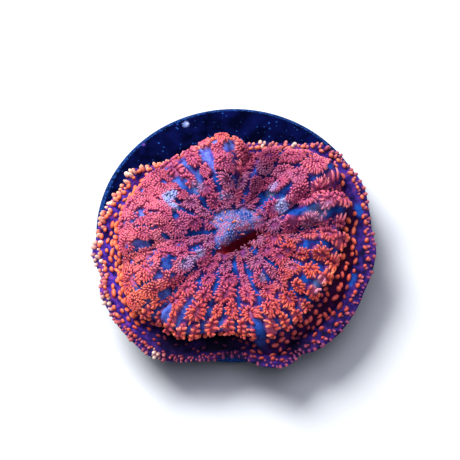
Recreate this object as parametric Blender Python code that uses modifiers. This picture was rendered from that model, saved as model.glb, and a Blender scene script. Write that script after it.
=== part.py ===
"""A mushroom coral polyp on a ceramic frag disc.

One soft polyp grew as one piece: a stalk, a folded oral disc that hangs over it like a hat with a
brim, and its tentacles. The crown of the hat carries tufts in forking rows, the brim carries plain
knobs, and its edge ends in a fringe. The polyp sits on a loose round disc with a tapered underside.

Frame: +Z up, +Y to the back, origin at the middle of the disc's flat underside. Sizes are in
millimetres and become metres when a mesh is made.
"""

import math

import bmesh
import bpy
import numpy as np
from mathutils import Vector
from mathutils.geometry import delaunay_2d_cdt

MM = 0.001
TAU = 2 * math.pi

# Frag disc
DISC_DIAMETER = 38.1
DISC_THICKNESS = 5.0
DISC_CHAMFER = 0.7
DISC_BAND = 1.1
DISC_TAPER_DEG = 32.0
DISC_BASE_EDGE = 0.4
DISC_SIDES = 72

# Polyp: the mouth is the middle of its rows, in front of the disc's middle
MOUTH_XY = (0.0, -3.0)
SEAT_GAP = 0.3
CENTRE_HEIGHT = 5.0

# Driving values round the polyp, evenly spaced from +X towards +Y. Heights are above the disc.
MARGIN_REACH = (19.0, 19.1, 19.6, 19.3, 16.9, 15.2, 15.1, 15.2, 15.1, 16.2, 17.6, 18.2,
                18.8, 18.9, 19.5, 19.8, 19.4, 17.7, 16.4, 18.3, 18.9, 19.2, 19.1, 19.2)
CROWN_SHARE = (0.80, 0.85, 0.83, 0.86, 0.88, 0.82, 0.81, 0.84, 0.82, 0.83, 0.80, 0.74)
CROWN_HEIGHT = (5.9, 6.4, 6.9, 7.7, 7.8, 7.1, 6.6, 6.3, 5.7, 5.3, 5.1, 5.3)
BRIM_HEIGHT = (2.3, 2.7, 2.6, 1.8, 1.8, 2.5, 2.5, 2.0, 1.5, 1.1, 1.2, 1.6)
# How far the foot of the crown's wall lies inside its edge; under 0 the wall slopes outwards
WALL_TUCK = (-1.1, -0.6, -0.3, -0.1, 0.0, 0.3, 0.4, 0.3, 0.2, -0.2, -0.6, -0.7,
             -0.8, -0.7, -0.6, -0.2, 1.2, 2.3, 1.9, -1.4, -0.9, -1.6, -1.9, -1.6)

# Arc length from the mouth to each ring of the profile: five on the crown, its shoulder, its edge,
# the foot of its wall and three on the brim
RING_ARCS = (0.0, 2.6, 5.2, 7.9, 10.6, 12.9, 14.7, 16.7, 18.2, 19.9, 21.5)
CROWN_END_ARC = 14.4
MARGIN_ARC = RING_ARCS[-1]
# Crown rings: share of the crown's reach, and of its rise from the centre
CROWN_RING_REACH = (0.0, 0.17, 0.35, 0.54, 0.74)
CROWN_RING_RISE = (0.0, 0.1, 0.4, 0.8, 1.0)
# Rings from the crown's shoulder to the foot of its wall: share of the drop to the brim
SHOULDER_REACH = 0.92
SHOULDER_DROP = 0.16
EDGE_DROP = 0.5
WALL_FOOT_DROP = 0.83
# Brim rings: share of the brim's width
BRIM_RING_WIDTH = (0.25, 0.62)
# The inner brim ring lies at least this share of the way from the wall's foot to the margin
BRIM_START = 0.15
BRIM_CURL = 0.2
FOLD_PUSH = 0.45

# Folds of the crown: angle, half width in degrees, lift. A lift also pushes the edge outwards.
CROWN_FOLDS = (
    (99, 10, 1.6),
    (81, 7, -1.5),
    (65, 7, 0.6),
    (51, 5, 0.3),
    (34, 8, 1.0),
    (23, 5, -1.3),
    (14, 6, 1.1),
    (3, 6, -1.4),
    (341, 6, -0.8),
    (330, 8, 0.7),
    (316, 7, -0.6),
    (291, 7, 0.9),
    (268, 9, 0.3),
    (247, 7, 0.5),
    (231, 5, -0.9),
    (216, 9, 0.8),
    (193, 5, -0.9),
    (169, 12, 0.5),
    (138, 6, -0.4),
    (118, 9, 0.4),
)
# The folds wander by this angle, in radians, as they run outwards
FOLD_WANDER = 0.10
# Folds of the brim: angle, half width in degrees, lift, push outwards
BRIM_FOLDS = (
    (289, 7, 1.0, 0.7),
    (299, 4, -0.3, -0.7),
    (236, 5, 0.5, 0.4),
    (247, 6, -0.3, -0.2),
    (204, 5, 0.5, 0.4),
    (196, 4, -0.3, -0.3),
    (187, 5, 0.4, 0.5),
    (168, 6, 0.4, 0.0),
    (144, 5, 0.9, 0.4),
    (154, 5, -0.4, -0.2),
    (75, 6, 0.8, 0.1),
    (50, 6, 0.5, 0.1),
    (35, 5, -0.3, -0.2),
    (22, 5, 0.4, 0.1),
    (9, 5, -0.3, -0.2),
    (355, 5, 0.4, 0.3),
    (338, 5, -0.3, -0.2),
)
RUFFLES = ((13, 0.14, 0.6), (21, 0.10, 2.1))

# Two lumps of the mouth and the gape beside them: offset from the mouth's middle, half length, half
# width, turn, height
MOUTH_OVALS = (
    (0.3, 1.6, 3.8, 1.7, 5.0, 1.1),
    (-1.1, -0.9, 1.8, 1.5, 75.0, 1.4),
    (1.5, -1.1, 2.8, 0.8, 30.0, -2.4),
)
# Soft lumps all over the crown: height, waves for each millimetre in x and in y, phase
SWELLS = ((0.16, 0.95, 0.55, 0.3), (0.16, -0.50, 0.90, 1.7), (0.12, 1.35, -0.85, 4.1), (0.12, 0.35, 1.45, 2.6))

# Tufts on the crown, in rows that fork as the disc widens. One fork follows the wide front channel.
FIRST_ROWS = 8
FIRST_ROW_TURN_DEG = 2
FRONT_CHANNEL_DEG = 287
FIRST_TUFT_ARC = 3.1
ROW_FORK_WIDTH = 3.35
TUFT_SPACING = 2.05
TUFT_HEIGHT = 0.75
TUFT_RAYS = 6
CHANNEL_WIDTH = 0.5

# Knobs on the brim: arc length of each ring, spacing along it, half length, half width, height
KNOB_RINGS = (
    (15.8, 1.75, 0.66, 0.44, 0.55),
    (17.3, 1.70, 0.64, 0.44, 0.60),
    (18.7, 1.65, 0.60, 0.43, 0.60),
    (20.2, 1.60, 0.54, 0.42, 0.58),
)
RIM_POINTS = 98
FRINGE_LENGTH = 0.45

# Underside: the brim's thickness, where it meets the crown's underside, and the stalk's sections
# as reach and height above the disc
BRIM_THICKNESS = 0.75
UNDER_CROWN_SHARE = 0.80
RIM_ROUNDING = 0.35
STALK_TOP = (8.4, 1.7)
STALK_WAIST = (6.2, 1.0)
STALK_FOOT = (7.6, SEAT_GAP)


def closed_curve(values, angle):
    """Reads evenly spaced values round the circle as one smooth closed curve."""
    values = np.asarray(values, float)
    count = len(values)
    place = np.asarray(angle, float) / TAU * count
    whole = np.floor(place).astype(int)
    part = place - whole
    before, here, after, beyond = (values[(whole + k) % count] for k in (-1, 0, 1, 2))
    slope = (after - before) / 2
    next_slope = (beyond - here) / 2
    return hermite(here, after, slope, next_slope, part)


def hermite(start, end, slope, end_slope, part):
    """Cubic from start to end with the given slopes, each per unit of part."""
    square, cube = part**2, part**3
    return (start * (2 * cube - 3 * square + 1) + slope * (cube - 2 * square + part)
            + end * (3 * square - 2 * cube) + end_slope * (cube - square))


def near_angle(angle, middle_deg, half_width_deg):
    """Bell of height 1 at one angle, fading over its half width."""
    gap = (angle - math.radians(middle_deg) + math.pi) % TAU - math.pi
    return np.exp(-((gap / math.radians(half_width_deg)) ** 2))


def smooth_step(low, high, value):
    """Smooth rise from 0 at low to 1 at high; it falls where high is under low."""
    part = np.clip((value - low) / (high - low), 0, 1)
    return part * part * (3 - 2 * part)


def profile_rings(angle):
    """Reach and height of each ring of the profile at these angles."""
    margin = closed_curve(MARGIN_REACH, angle)
    crown = margin * closed_curve(CROWN_SHARE, angle)
    top = closed_curve(CROWN_HEIGHT, angle)
    brim = closed_curve(BRIM_HEIGHT, angle)
    tuck = closed_curve(WALL_TUCK, angle)
    for middle, width, lift in CROWN_FOLDS:
        bell = near_angle(angle, middle, width)
        top = top + lift * bell
        crown = crown + FOLD_PUSH * lift * bell
    edge_lift, edge_push = 0.0, 0.0
    for middle, width, lift, push in BRIM_FOLDS:
        bell = near_angle(angle, middle, width)
        edge_lift = edge_lift + lift * bell
        edge_push = edge_push + push * bell
    for waves, size, phase in RUFFLES:
        edge_lift = edge_lift + size * np.sin(waves * angle + phase)
    drop, width = top - brim, margin - crown
    inner, outer = BRIM_RING_WIDTH
    reach = [share * crown for share in CROWN_RING_REACH]
    height = [CENTRE_HEIGHT + rise * (top - CENTRE_HEIGHT) for rise in CROWN_RING_RISE]
    wall_foot = crown - tuck
    brim_inner = np.maximum(crown + inner * width, wall_foot + BRIM_START * (margin - wall_foot))
    reach += [SHOULDER_REACH * crown, crown, wall_foot, brim_inner,
              crown + outer * width + 0.4 * edge_push, margin + edge_push]
    height += [top - SHOULDER_DROP * drop, top - EDGE_DROP * drop, top - WALL_FOOT_DROP * drop,
               brim + 0.3 * edge_lift, brim + 0.5 * BRIM_CURL + 0.6 * edge_lift,
               brim + BRIM_CURL + edge_lift]
    return np.stack(reach, -1), np.stack(height, -1)


def oval_bell(x, y, oval):
    """Rounded bump or pit with an oval plan."""
    off_x, off_y, half_length, half_width, turn, height = oval
    cos, sin = math.cos(math.radians(turn)), math.sin(math.radians(turn))
    along = ((x - off_x) * cos + (y - off_y) * sin) / half_length
    across = ((y - off_y) * cos - (x - off_x) * sin) / half_width
    return height * np.exp(-((along**2 + across**2) ** 1.25))


def skin(arc, angle):
    """Point of the polyp's upper skin at an arc length from the mouth and an angle."""
    arc, angle = np.broadcast_arrays(np.asarray(arc, float), np.asarray(angle, float))
    knots = np.array(RING_ARCS)
    wander = FOLD_WANDER * np.sin(arc / 2.9 + 2.5 * np.sin(angle)) * (1 - (arc / MARGIN_ARC) ** 2)
    reach, height = profile_rings(angle + wander)
    ring = np.clip(np.searchsorted(knots, arc, side="right") - 1, 0, len(knots) - 2)
    span = knots[ring + 1] - knots[ring]
    part = (arc - knots[ring]) / span

    def at(values, mirror, step):
        index = ring + step
        found = np.take_along_axis(values, np.clip(index, 0, len(knots) - 1)[..., None], -1)[..., 0]
        return np.where(index < 0, mirror * values[..., 1], found)

    def knot(step):
        index = ring + step
        found = knots[np.clip(index, 0, len(knots) - 1)]
        return np.where(index < 0, -knots[1], found)

    def smooth(values, mirror):
        slope = (at(values, mirror, 1) - at(values, mirror, -1)) / (knot(1) - knot(-1)) * span
        end_slope = (at(values, mirror, 2) - at(values, mirror, 0)) / (knot(2) - knot(0)) * span
        return hermite(at(values, mirror, 0), at(values, mirror, 1), slope, end_slope, part)

    out, up = smooth(reach, -1), smooth(height, 1)
    x, y = out * np.cos(angle), out * np.sin(angle)
    for oval in MOUTH_OVALS:
        up = up + oval_bell(x, y, oval)
    mask = smooth_step(3, 6, arc) * smooth_step(MARGIN_ARC - 1, MARGIN_ARC - 4, arc)
    for size, in_x, in_y, phase in SWELLS:
        up = up + mask * size * np.sin(in_x * x + in_y * y + phase)
    return np.stack((x + MOUTH_XY[0], y + MOUTH_XY[1], up + DISC_THICKNESS), -1)


def skin_normal(arc, angle):
    """Outward unit normal of the skin."""
    step, turn = 0.12, 0.012
    inner = np.maximum(np.asarray(arc, float) - step, 0.05)
    along = skin(np.minimum(inner + 2 * step, MARGIN_ARC), angle) - skin(inner, angle)
    mid = np.maximum(arc, 0.3)
    around = skin(mid, np.asarray(angle) + turn) - skin(mid, np.asarray(angle) - turn)
    normal = np.cross(along, around)
    return normal / np.maximum(np.linalg.norm(normal, axis=-1, keepdims=True), 1e-9)


def chart_point(arc, angle):
    """Place in the flat chart: the skin rolled out round the mouth, arc length as radius."""
    return arc * math.cos(angle), arc * math.sin(angle)


def fork_angle(low, high, rng):
    """Where a row forks: at the front channel if that crosses its middle, or else near its middle."""
    share = (math.radians(FRONT_CHANNEL_DEG) - low) / (high - low)
    if not 0.25 < share < 0.75:
        share = 0.5 + rng.uniform(-0.08, 0.08)
    return low + share * (high - low)


def tuft_places(rng):
    """Tufts as (arc, angle, half width, half length), in rows that fork as the disc widens."""
    tufts = []
    sector = TAU / FIRST_ROWS
    first = math.radians(FIRST_ROW_TURN_DEG)
    rows = [(first + k * sector, first + (k + 1) * sector, FIRST_TUFT_ARC + rng.uniform(0.0, 0.5))
            for k in range(FIRST_ROWS)]
    while rows:
        low, high, arc = rows.pop(0)
        while arc < CROWN_END_ARC:
            middle = (low + high) / 2
            place = skin(arc, middle)
            reach = math.hypot(place[0] - MOUTH_XY[0], place[1] - MOUTH_XY[1])
            width = (high - low) * reach
            if width > ROW_FORK_WIDTH + rng.uniform(-0.35, 0.35):
                fork = fork_angle(low, high, rng)
                rows += [(low, fork, arc + rng.uniform(-0.3, 0.1)),
                         (fork, high, arc + rng.uniform(-0.1, 0.3))]
                break
            spacing = TUFT_SPACING * rng.uniform(0.9, 1.08)
            half_width = (width - CHANNEL_WIDTH) / 2 / reach * arc
            tufts.append((arc, middle, half_width, 0.46 * spacing))
            arc += spacing
    return tufts


def knob_places(rng):
    """Knobs as (arc, angle, half length, half width, height), ring by ring."""
    knobs = []
    for ring, (arc, spacing, half_length, half_width, height) in enumerate(KNOB_RINGS):
        place = skin(arc, np.linspace(0, TAU, 73)[:-1])
        mean_reach = np.hypot(place[:, 0] - MOUTH_XY[0], place[:, 1] - MOUTH_XY[1]).mean()
        count = round(TAU * mean_reach / spacing)
        for k in range(count):
            angle = (k + 0.5 * (ring % 2) + rng.uniform(-0.13, 0.13)) * TAU / count
            size = rng.uniform(0.85, 1.12)
            knobs.append((arc + rng.uniform(-0.14, 0.14), angle, size * half_length * arc / mean_reach,
                          size * half_width, size * height))
    return knobs


class Chart:
    """Points of the flat chart, each with a height above the skin."""

    def __init__(self):
        self.points = []
        self.heights = []

    def add(self, arc, angle, out, aside, height):
        """Adds a point that lies out and aside of a place in the chart."""
        x, y = chart_point(arc, angle)
        cos, sin = math.cos(angle), math.sin(angle)
        self.points.append(Vector((x + out * cos - aside * sin, y + out * sin + aside * cos)))
        self.heights.append(height)

    def add_star(self, tuft):
        """A tuft: a raised middle, rays and the notches between them. Adds its points."""
        arc, angle, half_width, half_length = tuft
        self.add(arc, angle, 0, 0, TUFT_HEIGHT)
        for ray in range(TUFT_RAYS):
            turn = (ray + 0.5) / TUFT_RAYS * TAU
            notch = turn + TAU / TUFT_RAYS / 2
            for share, way, height in ((0.5, turn, 0.85 * TUFT_HEIGHT), (1.0, turn, 0.2), (0.6, notch, -0.05)):
                self.add(arc, angle, share * half_length * math.sin(way),
                         share * half_width * math.cos(way), height)

    def add_knob(self, knob):
        """A knob of the brim: a top point and four points round its foot."""
        arc, angle, half_length, half_width, height = knob
        self.add(arc, angle, 0, 0, height)
        for out, aside in ((half_width, 0), (0, half_length), (-half_width, 0), (0, -half_length)):
            self.add(arc, angle, out, aside, 0)

    def triangles(self):
        """Triangles between the points, with each point's arc, angle and height."""
        points, _, faces, origins, _, _ = delaunay_2d_cdt(self.points, [], [], 0, 1e-4)
        arcs = np.array([p.length for p in points])
        angles = np.array([math.atan2(p.y, p.x) for p in points])
        heights = np.array([self.heights[origin[0]] for origin in origins])
        return arcs, angles, heights, faces


def polyp_chart():
    """The whole upper side: mouth, tufts, knobs and the plain rim."""
    rng = np.random.default_rng(7)
    chart = Chart()
    chart.add(0, 0, 0, 0, 0)
    for arc, count in ((0.9, 7), (1.8, 11)):
        for k in range(count):
            chart.add(arc, k / count * TAU, 0, 0, 0)
    for tuft in tuft_places(rng):
        chart.add_star(tuft)
    for knob in knob_places(rng):
        chart.add_knob(knob)
    for k in range(RIM_POINTS):
        chart.add(MARGIN_ARC, k / RIM_POINTS * TAU, 0, 0, 0)
    return chart


def underside_rings(rim_angles):
    """Rings under the rim, one after another down to the foot, as lists of points."""
    reach, height = profile_rings(rim_angles)
    margin, crown, brim = reach[:, -1], reach[:, 6], height[:, -1]
    inner_brim = height[:, 8]
    round_out = margin / margin.mean()
    rows = (
        (margin - RIM_ROUNDING, brim - 0.6 * BRIM_THICKNESS),
        (0.5 * (margin + crown), 0.5 * (brim + inner_brim) - BRIM_THICKNESS),
        (UNDER_CROWN_SHARE * crown, inner_brim - 0.4 * BRIM_THICKNESS),
    )
    rows += tuple((out * round_out, up + 0 * crown) for out, up in (STALK_TOP, STALK_WAIST, STALK_FOOT))
    for out, up in rows:
        up = np.maximum(up, SEAT_GAP) + DISC_THICKNESS
        yield np.stack((out * np.cos(rim_angles) + MOUTH_XY[0],
                        out * np.sin(rim_angles) + MOUTH_XY[1], up), -1)


def make_polyp(collection):
    """The polyp as one closed mesh: the chart wrapped on the skin, then the underside."""
    arcs, angles, heights, faces = polyp_chart().triangles()
    places = skin(arcs, angles) + heights[:, None] * skin_normal(arcs, angles)
    mesh = bmesh.new()
    verts = [mesh.verts.new(Vector(place) * MM) for place in places]
    for face in faces:
        mesh.faces.new([verts[k] for k in face])
    mesh.verts.index_update()
    rim = sorted((k for k in range(len(arcs)) if arcs[k] > MARGIN_ARC - 0.01), key=lambda k: angles[k])
    for count, k in enumerate(rim):
        if count % 2:
            outward = Vector((math.cos(angles[k]), math.sin(angles[k]), 0.35))
            verts[k].co += outward * FRINGE_LENGTH * MM
    ring = [verts[k] for k in rim]
    for points in underside_rings(angles[rim]):
        lower = [mesh.verts.new(Vector(point) * MM) for point in points]
        for k, vert in enumerate(ring):
            after = (k + 1) % len(ring)
            mesh.faces.new((vert, lower[k], lower[after], ring[after]))
        ring = lower
    mesh.faces.new(ring)
    bmesh.ops.triangulate(mesh, faces=[f for f in mesh.faces if len(f.verts) == 4])
    bmesh.ops.recalc_face_normals(mesh, faces=mesh.faces)
    data = bpy.data.meshes.new("coral_polyp")
    mesh.to_mesh(data)
    mesh.free()
    data.shade_smooth()
    data.set_sharp_from_angle(angle=math.radians(50))
    polyp = bpy.data.objects.new("coral_polyp", data)
    polyp.data.materials.append(plain_material("coral_tissue", (0.72, 0.16, 0.15), 0.45))
    collection.objects.link(polyp)
    return polyp


def make_disc(collection):
    """The frag disc, turned: a chamfered top edge, a short band and a tapered underside."""
    radius, top = DISC_DIAMETER / 2, DISC_THICKNESS
    band_foot = top - DISC_CHAMFER - DISC_BAND
    base_radius = radius - (band_foot - DISC_BASE_EDGE) * math.tan(math.radians(DISC_TAPER_DEG))
    profile = (
        (0, top),
        (radius - DISC_CHAMFER, top),
        (radius, top - DISC_CHAMFER),
        (radius, band_foot),
        (base_radius, DISC_BASE_EDGE),
        (base_radius - DISC_BASE_EDGE, 0),
        (0, 0),
    )
    data = bpy.data.meshes.new("frag_disc")
    points = [(x * MM, 0, z * MM) for x, z in profile]
    data.from_pydata(points, [(k, k + 1) for k in range(len(points) - 1)], [])
    disc = bpy.data.objects.new("frag_disc", data)
    collection.objects.link(disc)
    screw = disc.modifiers.new("turn", "SCREW")
    screw.steps = screw.render_steps = DISC_SIDES
    screw.use_merge_vertices = True
    screw.merge_threshold = 1e-5
    disc.data.materials.append(plain_material("black_ceramic", (0.008, 0.009, 0.022), 0.4))
    return disc


def plain_material(name, colour, roughness):
    """A Principled material with one colour."""
    material = bpy.data.materials.new(name)
    material.use_nodes = True
    shader = material.node_tree.nodes["Principled BSDF"]
    shader.inputs["Base Color"].default_value = (*colour, 1)
    shader.inputs["Roughness"].default_value = roughness
    return material


def main():
    """Clears the scene and builds the coral on its disc."""
    for obj in list(bpy.data.objects):
        bpy.data.objects.remove(obj, do_unlink=True)
    collection = bpy.data.collections.new("mushroom_coral")
    bpy.context.scene.collection.children.link(collection)
    make_disc(collection)
    make_polyp(collection)


main()
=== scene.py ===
"""Looks of a mushroom coral on a ceramic frag disc.

The coral is one soft polyp: a folded oral disc with a mouth, tentacle tufts in forking rows, a
brim set with knobs and an edge with a fringe. It sits on a round plug of dark ceramic. Lengths are
in millimetres and angles run from +X towards +Y, until a mesh is made in metres. The polyp's form
repeats the driving sizes of its solid, so every piece lies where the solid does.
"""

from __future__ import annotations

import logging
import math
from collections.abc import Iterator
from dataclasses import dataclass, field
from enum import Enum

import bpy
import numpy as np
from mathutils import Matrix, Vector

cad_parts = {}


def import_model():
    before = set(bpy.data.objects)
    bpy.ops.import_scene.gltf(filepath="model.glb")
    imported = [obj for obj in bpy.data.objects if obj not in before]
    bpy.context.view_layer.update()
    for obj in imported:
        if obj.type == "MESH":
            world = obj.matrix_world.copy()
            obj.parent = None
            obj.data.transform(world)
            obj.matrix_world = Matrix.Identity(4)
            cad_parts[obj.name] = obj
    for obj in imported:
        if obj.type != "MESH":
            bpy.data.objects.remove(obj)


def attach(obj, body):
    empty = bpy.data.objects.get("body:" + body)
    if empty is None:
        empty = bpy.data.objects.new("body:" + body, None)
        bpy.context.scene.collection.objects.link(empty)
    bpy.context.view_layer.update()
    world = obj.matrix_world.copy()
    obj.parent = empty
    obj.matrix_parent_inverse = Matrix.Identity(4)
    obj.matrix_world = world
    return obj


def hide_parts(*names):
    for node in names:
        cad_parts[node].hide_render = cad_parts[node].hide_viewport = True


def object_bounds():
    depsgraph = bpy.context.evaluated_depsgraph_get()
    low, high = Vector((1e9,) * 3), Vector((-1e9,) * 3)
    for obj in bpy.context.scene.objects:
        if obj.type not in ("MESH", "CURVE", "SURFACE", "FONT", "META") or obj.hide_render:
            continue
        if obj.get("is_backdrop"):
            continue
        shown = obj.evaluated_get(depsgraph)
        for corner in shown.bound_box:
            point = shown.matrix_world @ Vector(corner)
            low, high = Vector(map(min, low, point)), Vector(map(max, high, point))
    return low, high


log = logging.getLogger("mushroom_coral")

MM = 0.001
TAU = 2 * math.pi
# Turn between neighbours of an even spiral scatter
GOLDEN_TURN = math.pi * (3 - math.sqrt(5))
# Decimals to which the levels of a lobe's rings are told apart
LEVEL_DIGITS = 4
BODY = "root"
POLYP_NODE = "coral_polyp"
DISC_NODE = "frag_disc"

# Sockets of a colour Mix node
MIX_FACTOR, MIX_A, MIX_B, MIX_RESULT = 0, 6, 7, 2

# Middle and half width, in degrees, of the upper right, where the tufts end early
UPPER_RIGHT_DEG = (33, 22)
# Where open skin or the mouth takes more than this share, nothing grows
OPEN_SHARE = 0.45

Array = np.ndarray
Tree = bpy.types.NodeTree
Socket = bpy.types.NodeSocket
Feed = Socket | float | tuple


def linear(hex_colour: str) -> tuple[float, float, float, float]:
    """Turns an sRGB hex colour into linear RGBA.

    Args:
        hex_colour: Six hex digits after a hash sign.

    Returns:
        Linear red, green, blue and an alpha of one.
    """
    channels = [int(hex_colour[k:k + 2], 16) / 255 for k in (1, 3, 5)]
    curved = [c / 12.92 if c <= 0.04045 else ((c + 0.055) / 1.055) ** 2.4 for c in channels]
    return curved[0], curved[1], curved[2], 1.0


def add_node(tree: Tree, kind: str, feeds: dict | None = None, **settings: object) -> bpy.types.Node:
    """Adds a node with its settings and fills its sockets.

    Args:
        tree: Tree that the node goes in.
        kind: Blender's name of the node type.
        feeds: Socket names or numbers, each with a value or with the output socket that feeds it.
        **settings: Attributes of the node. The setting stops fills a colour ramp.

    Returns:
        The new node.
    """
    node = tree.nodes.new(kind)
    stops = settings.pop("stops", ())
    for name, value in settings.items():
        setattr(node, name, value)
    for place, _ in stops[2:]:
        node.color_ramp.elements.new(place)
    for element, (place, colour) in zip(node.color_ramp.elements if stops else (), stops):
        element.position = place
        element.color = linear(colour)
    for socket, value in (feeds or {}).items():
        if isinstance(value, Socket):
            tree.links.new(value, node.inputs[socket])
        else:
            node.inputs[socket].default_value = value
    return node


def attributes(tree: Tree, *names: str) -> list[Socket]:
    """Reads some of the mesh's attributes."""
    return [add_node(tree, "ShaderNodeAttribute", attribute_name=name).outputs["Fac"] for name in names]


def mix(tree: Tree, share: Feed, under: Feed, over: Feed) -> Socket:
    """Lays one colour over another by a share."""
    feeds = {MIX_FACTOR: share, MIX_A: under, MIX_B: over}
    return add_node(tree, "ShaderNodeMix", feeds, data_type="RGBA").outputs[MIX_RESULT]


def ramp(tree: Tree, value: Socket, places: tuple[float, ...], colours: tuple[str, ...]) -> Socket:
    """Turns values into the colours that stand at some places from 0 to 1."""
    stops = tuple(zip(places, colours))
    return add_node(tree, "ShaderNodeValToRGB", {"Fac": value}, stops=stops).outputs["Color"]


def remap(tree: Tree, value: Socket, start: float, end: float, low: float = 0.0, high: float = 1.0) -> Socket:
    """Maps values from between start and end to between low and high."""
    feeds = {"Value": value, "From Min": start, "From Max": end, "To Min": low, "To Max": high}
    return add_node(tree, "ShaderNodeMapRange", feeds).outputs[0]


def calculate(tree: Tree, operation: str, first: Socket, second: Socket) -> Socket:
    """Combines two values by one operation."""
    return add_node(tree, "ShaderNodeMath", {0: first, 1: second}, operation=operation).outputs[0]


def noise(tree: Tree, size: float, detail: float = 2.0, roughness: float = 0.5) -> Socket:
    """Noise with clouds of a size in millimetres, in the piece's own coordinates."""
    place = add_node(tree, "ShaderNodeTexCoord").outputs["Object"]
    feeds = {"Vector": place, "Scale": 1 / (size * MM), "Detail": detail, "Roughness": roughness}
    return add_node(tree, "ShaderNodeTexNoise", feeds).outputs["Fac"]


def closed_curve(values: tuple[float, ...], angle: Array) -> Array:
    """Reads evenly spaced values round the circle as one smooth closed curve."""
    points = np.asarray(values, float)
    place = np.asarray(angle, float) / TAU * len(points)
    whole = np.floor(place).astype(int)
    before, here, after, beyond = (points[(whole + k) % len(points)] for k in (-1, 0, 1, 2))
    return hermite(here, after, (after - before) / 2, (beyond - here) / 2, place - whole)


def hermite(start: Array, end: Array, slope: Array, end_slope: Array, part: Array) -> Array:
    """Cubic from start to end with the given slopes, each per unit of part."""
    square, cube = part**2, part**3
    return (start * (2 * cube - 3 * square + 1) + slope * (cube - 2 * square + part)
            + end * (3 * square - 2 * cube) + end_slope * (cube - square))


def turn_between(angle: Array, middle_deg: float) -> Array:
    """Signed turn in radians from one angle to others, between minus and plus half a turn."""
    return (angle - math.radians(middle_deg) + math.pi) % TAU - math.pi


def near_angle(angle: Array, middle_deg: float, half_width_deg: float) -> Array:
    """Bell of height 1 at one angle, fading over its half width."""
    return np.exp(-((turn_between(angle, middle_deg) / math.radians(half_width_deg)) ** 2))


def smooth_step(low: float, high: float, value: Array) -> Array:
    """Smooth rise from 0 at low to 1 at high; it falls where high is under low."""
    part = np.clip((value - low) / (high - low), 0, 1)
    return part * part * (3 - 2 * part)


def unit(vectors: Array) -> Array:
    """Scales vectors to length one."""
    return vectors / np.maximum(np.linalg.norm(vectors, axis=-1, keepdims=True), 1e-12)


@dataclass(frozen=True)
class Oval:
    """Rounded bump or pit with an oval plan, in millimetres and degrees from the mouth's middle."""

    off_x: float
    off_y: float
    half_length: float
    half_width: float
    turn_deg: float
    height: float

    def bell(self, x: Array, y: Array) -> Array:
        """Share of the full height at each place."""
        cos, sin = math.cos(math.radians(self.turn_deg)), math.sin(math.radians(self.turn_deg))
        along = ((x - self.off_x) * cos + (y - self.off_y) * sin) / self.half_length
        across = ((y - self.off_y) * cos - (x - self.off_x) * sin) / self.half_width
        return np.exp(-((along**2 + across**2) ** 1.25))


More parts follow.
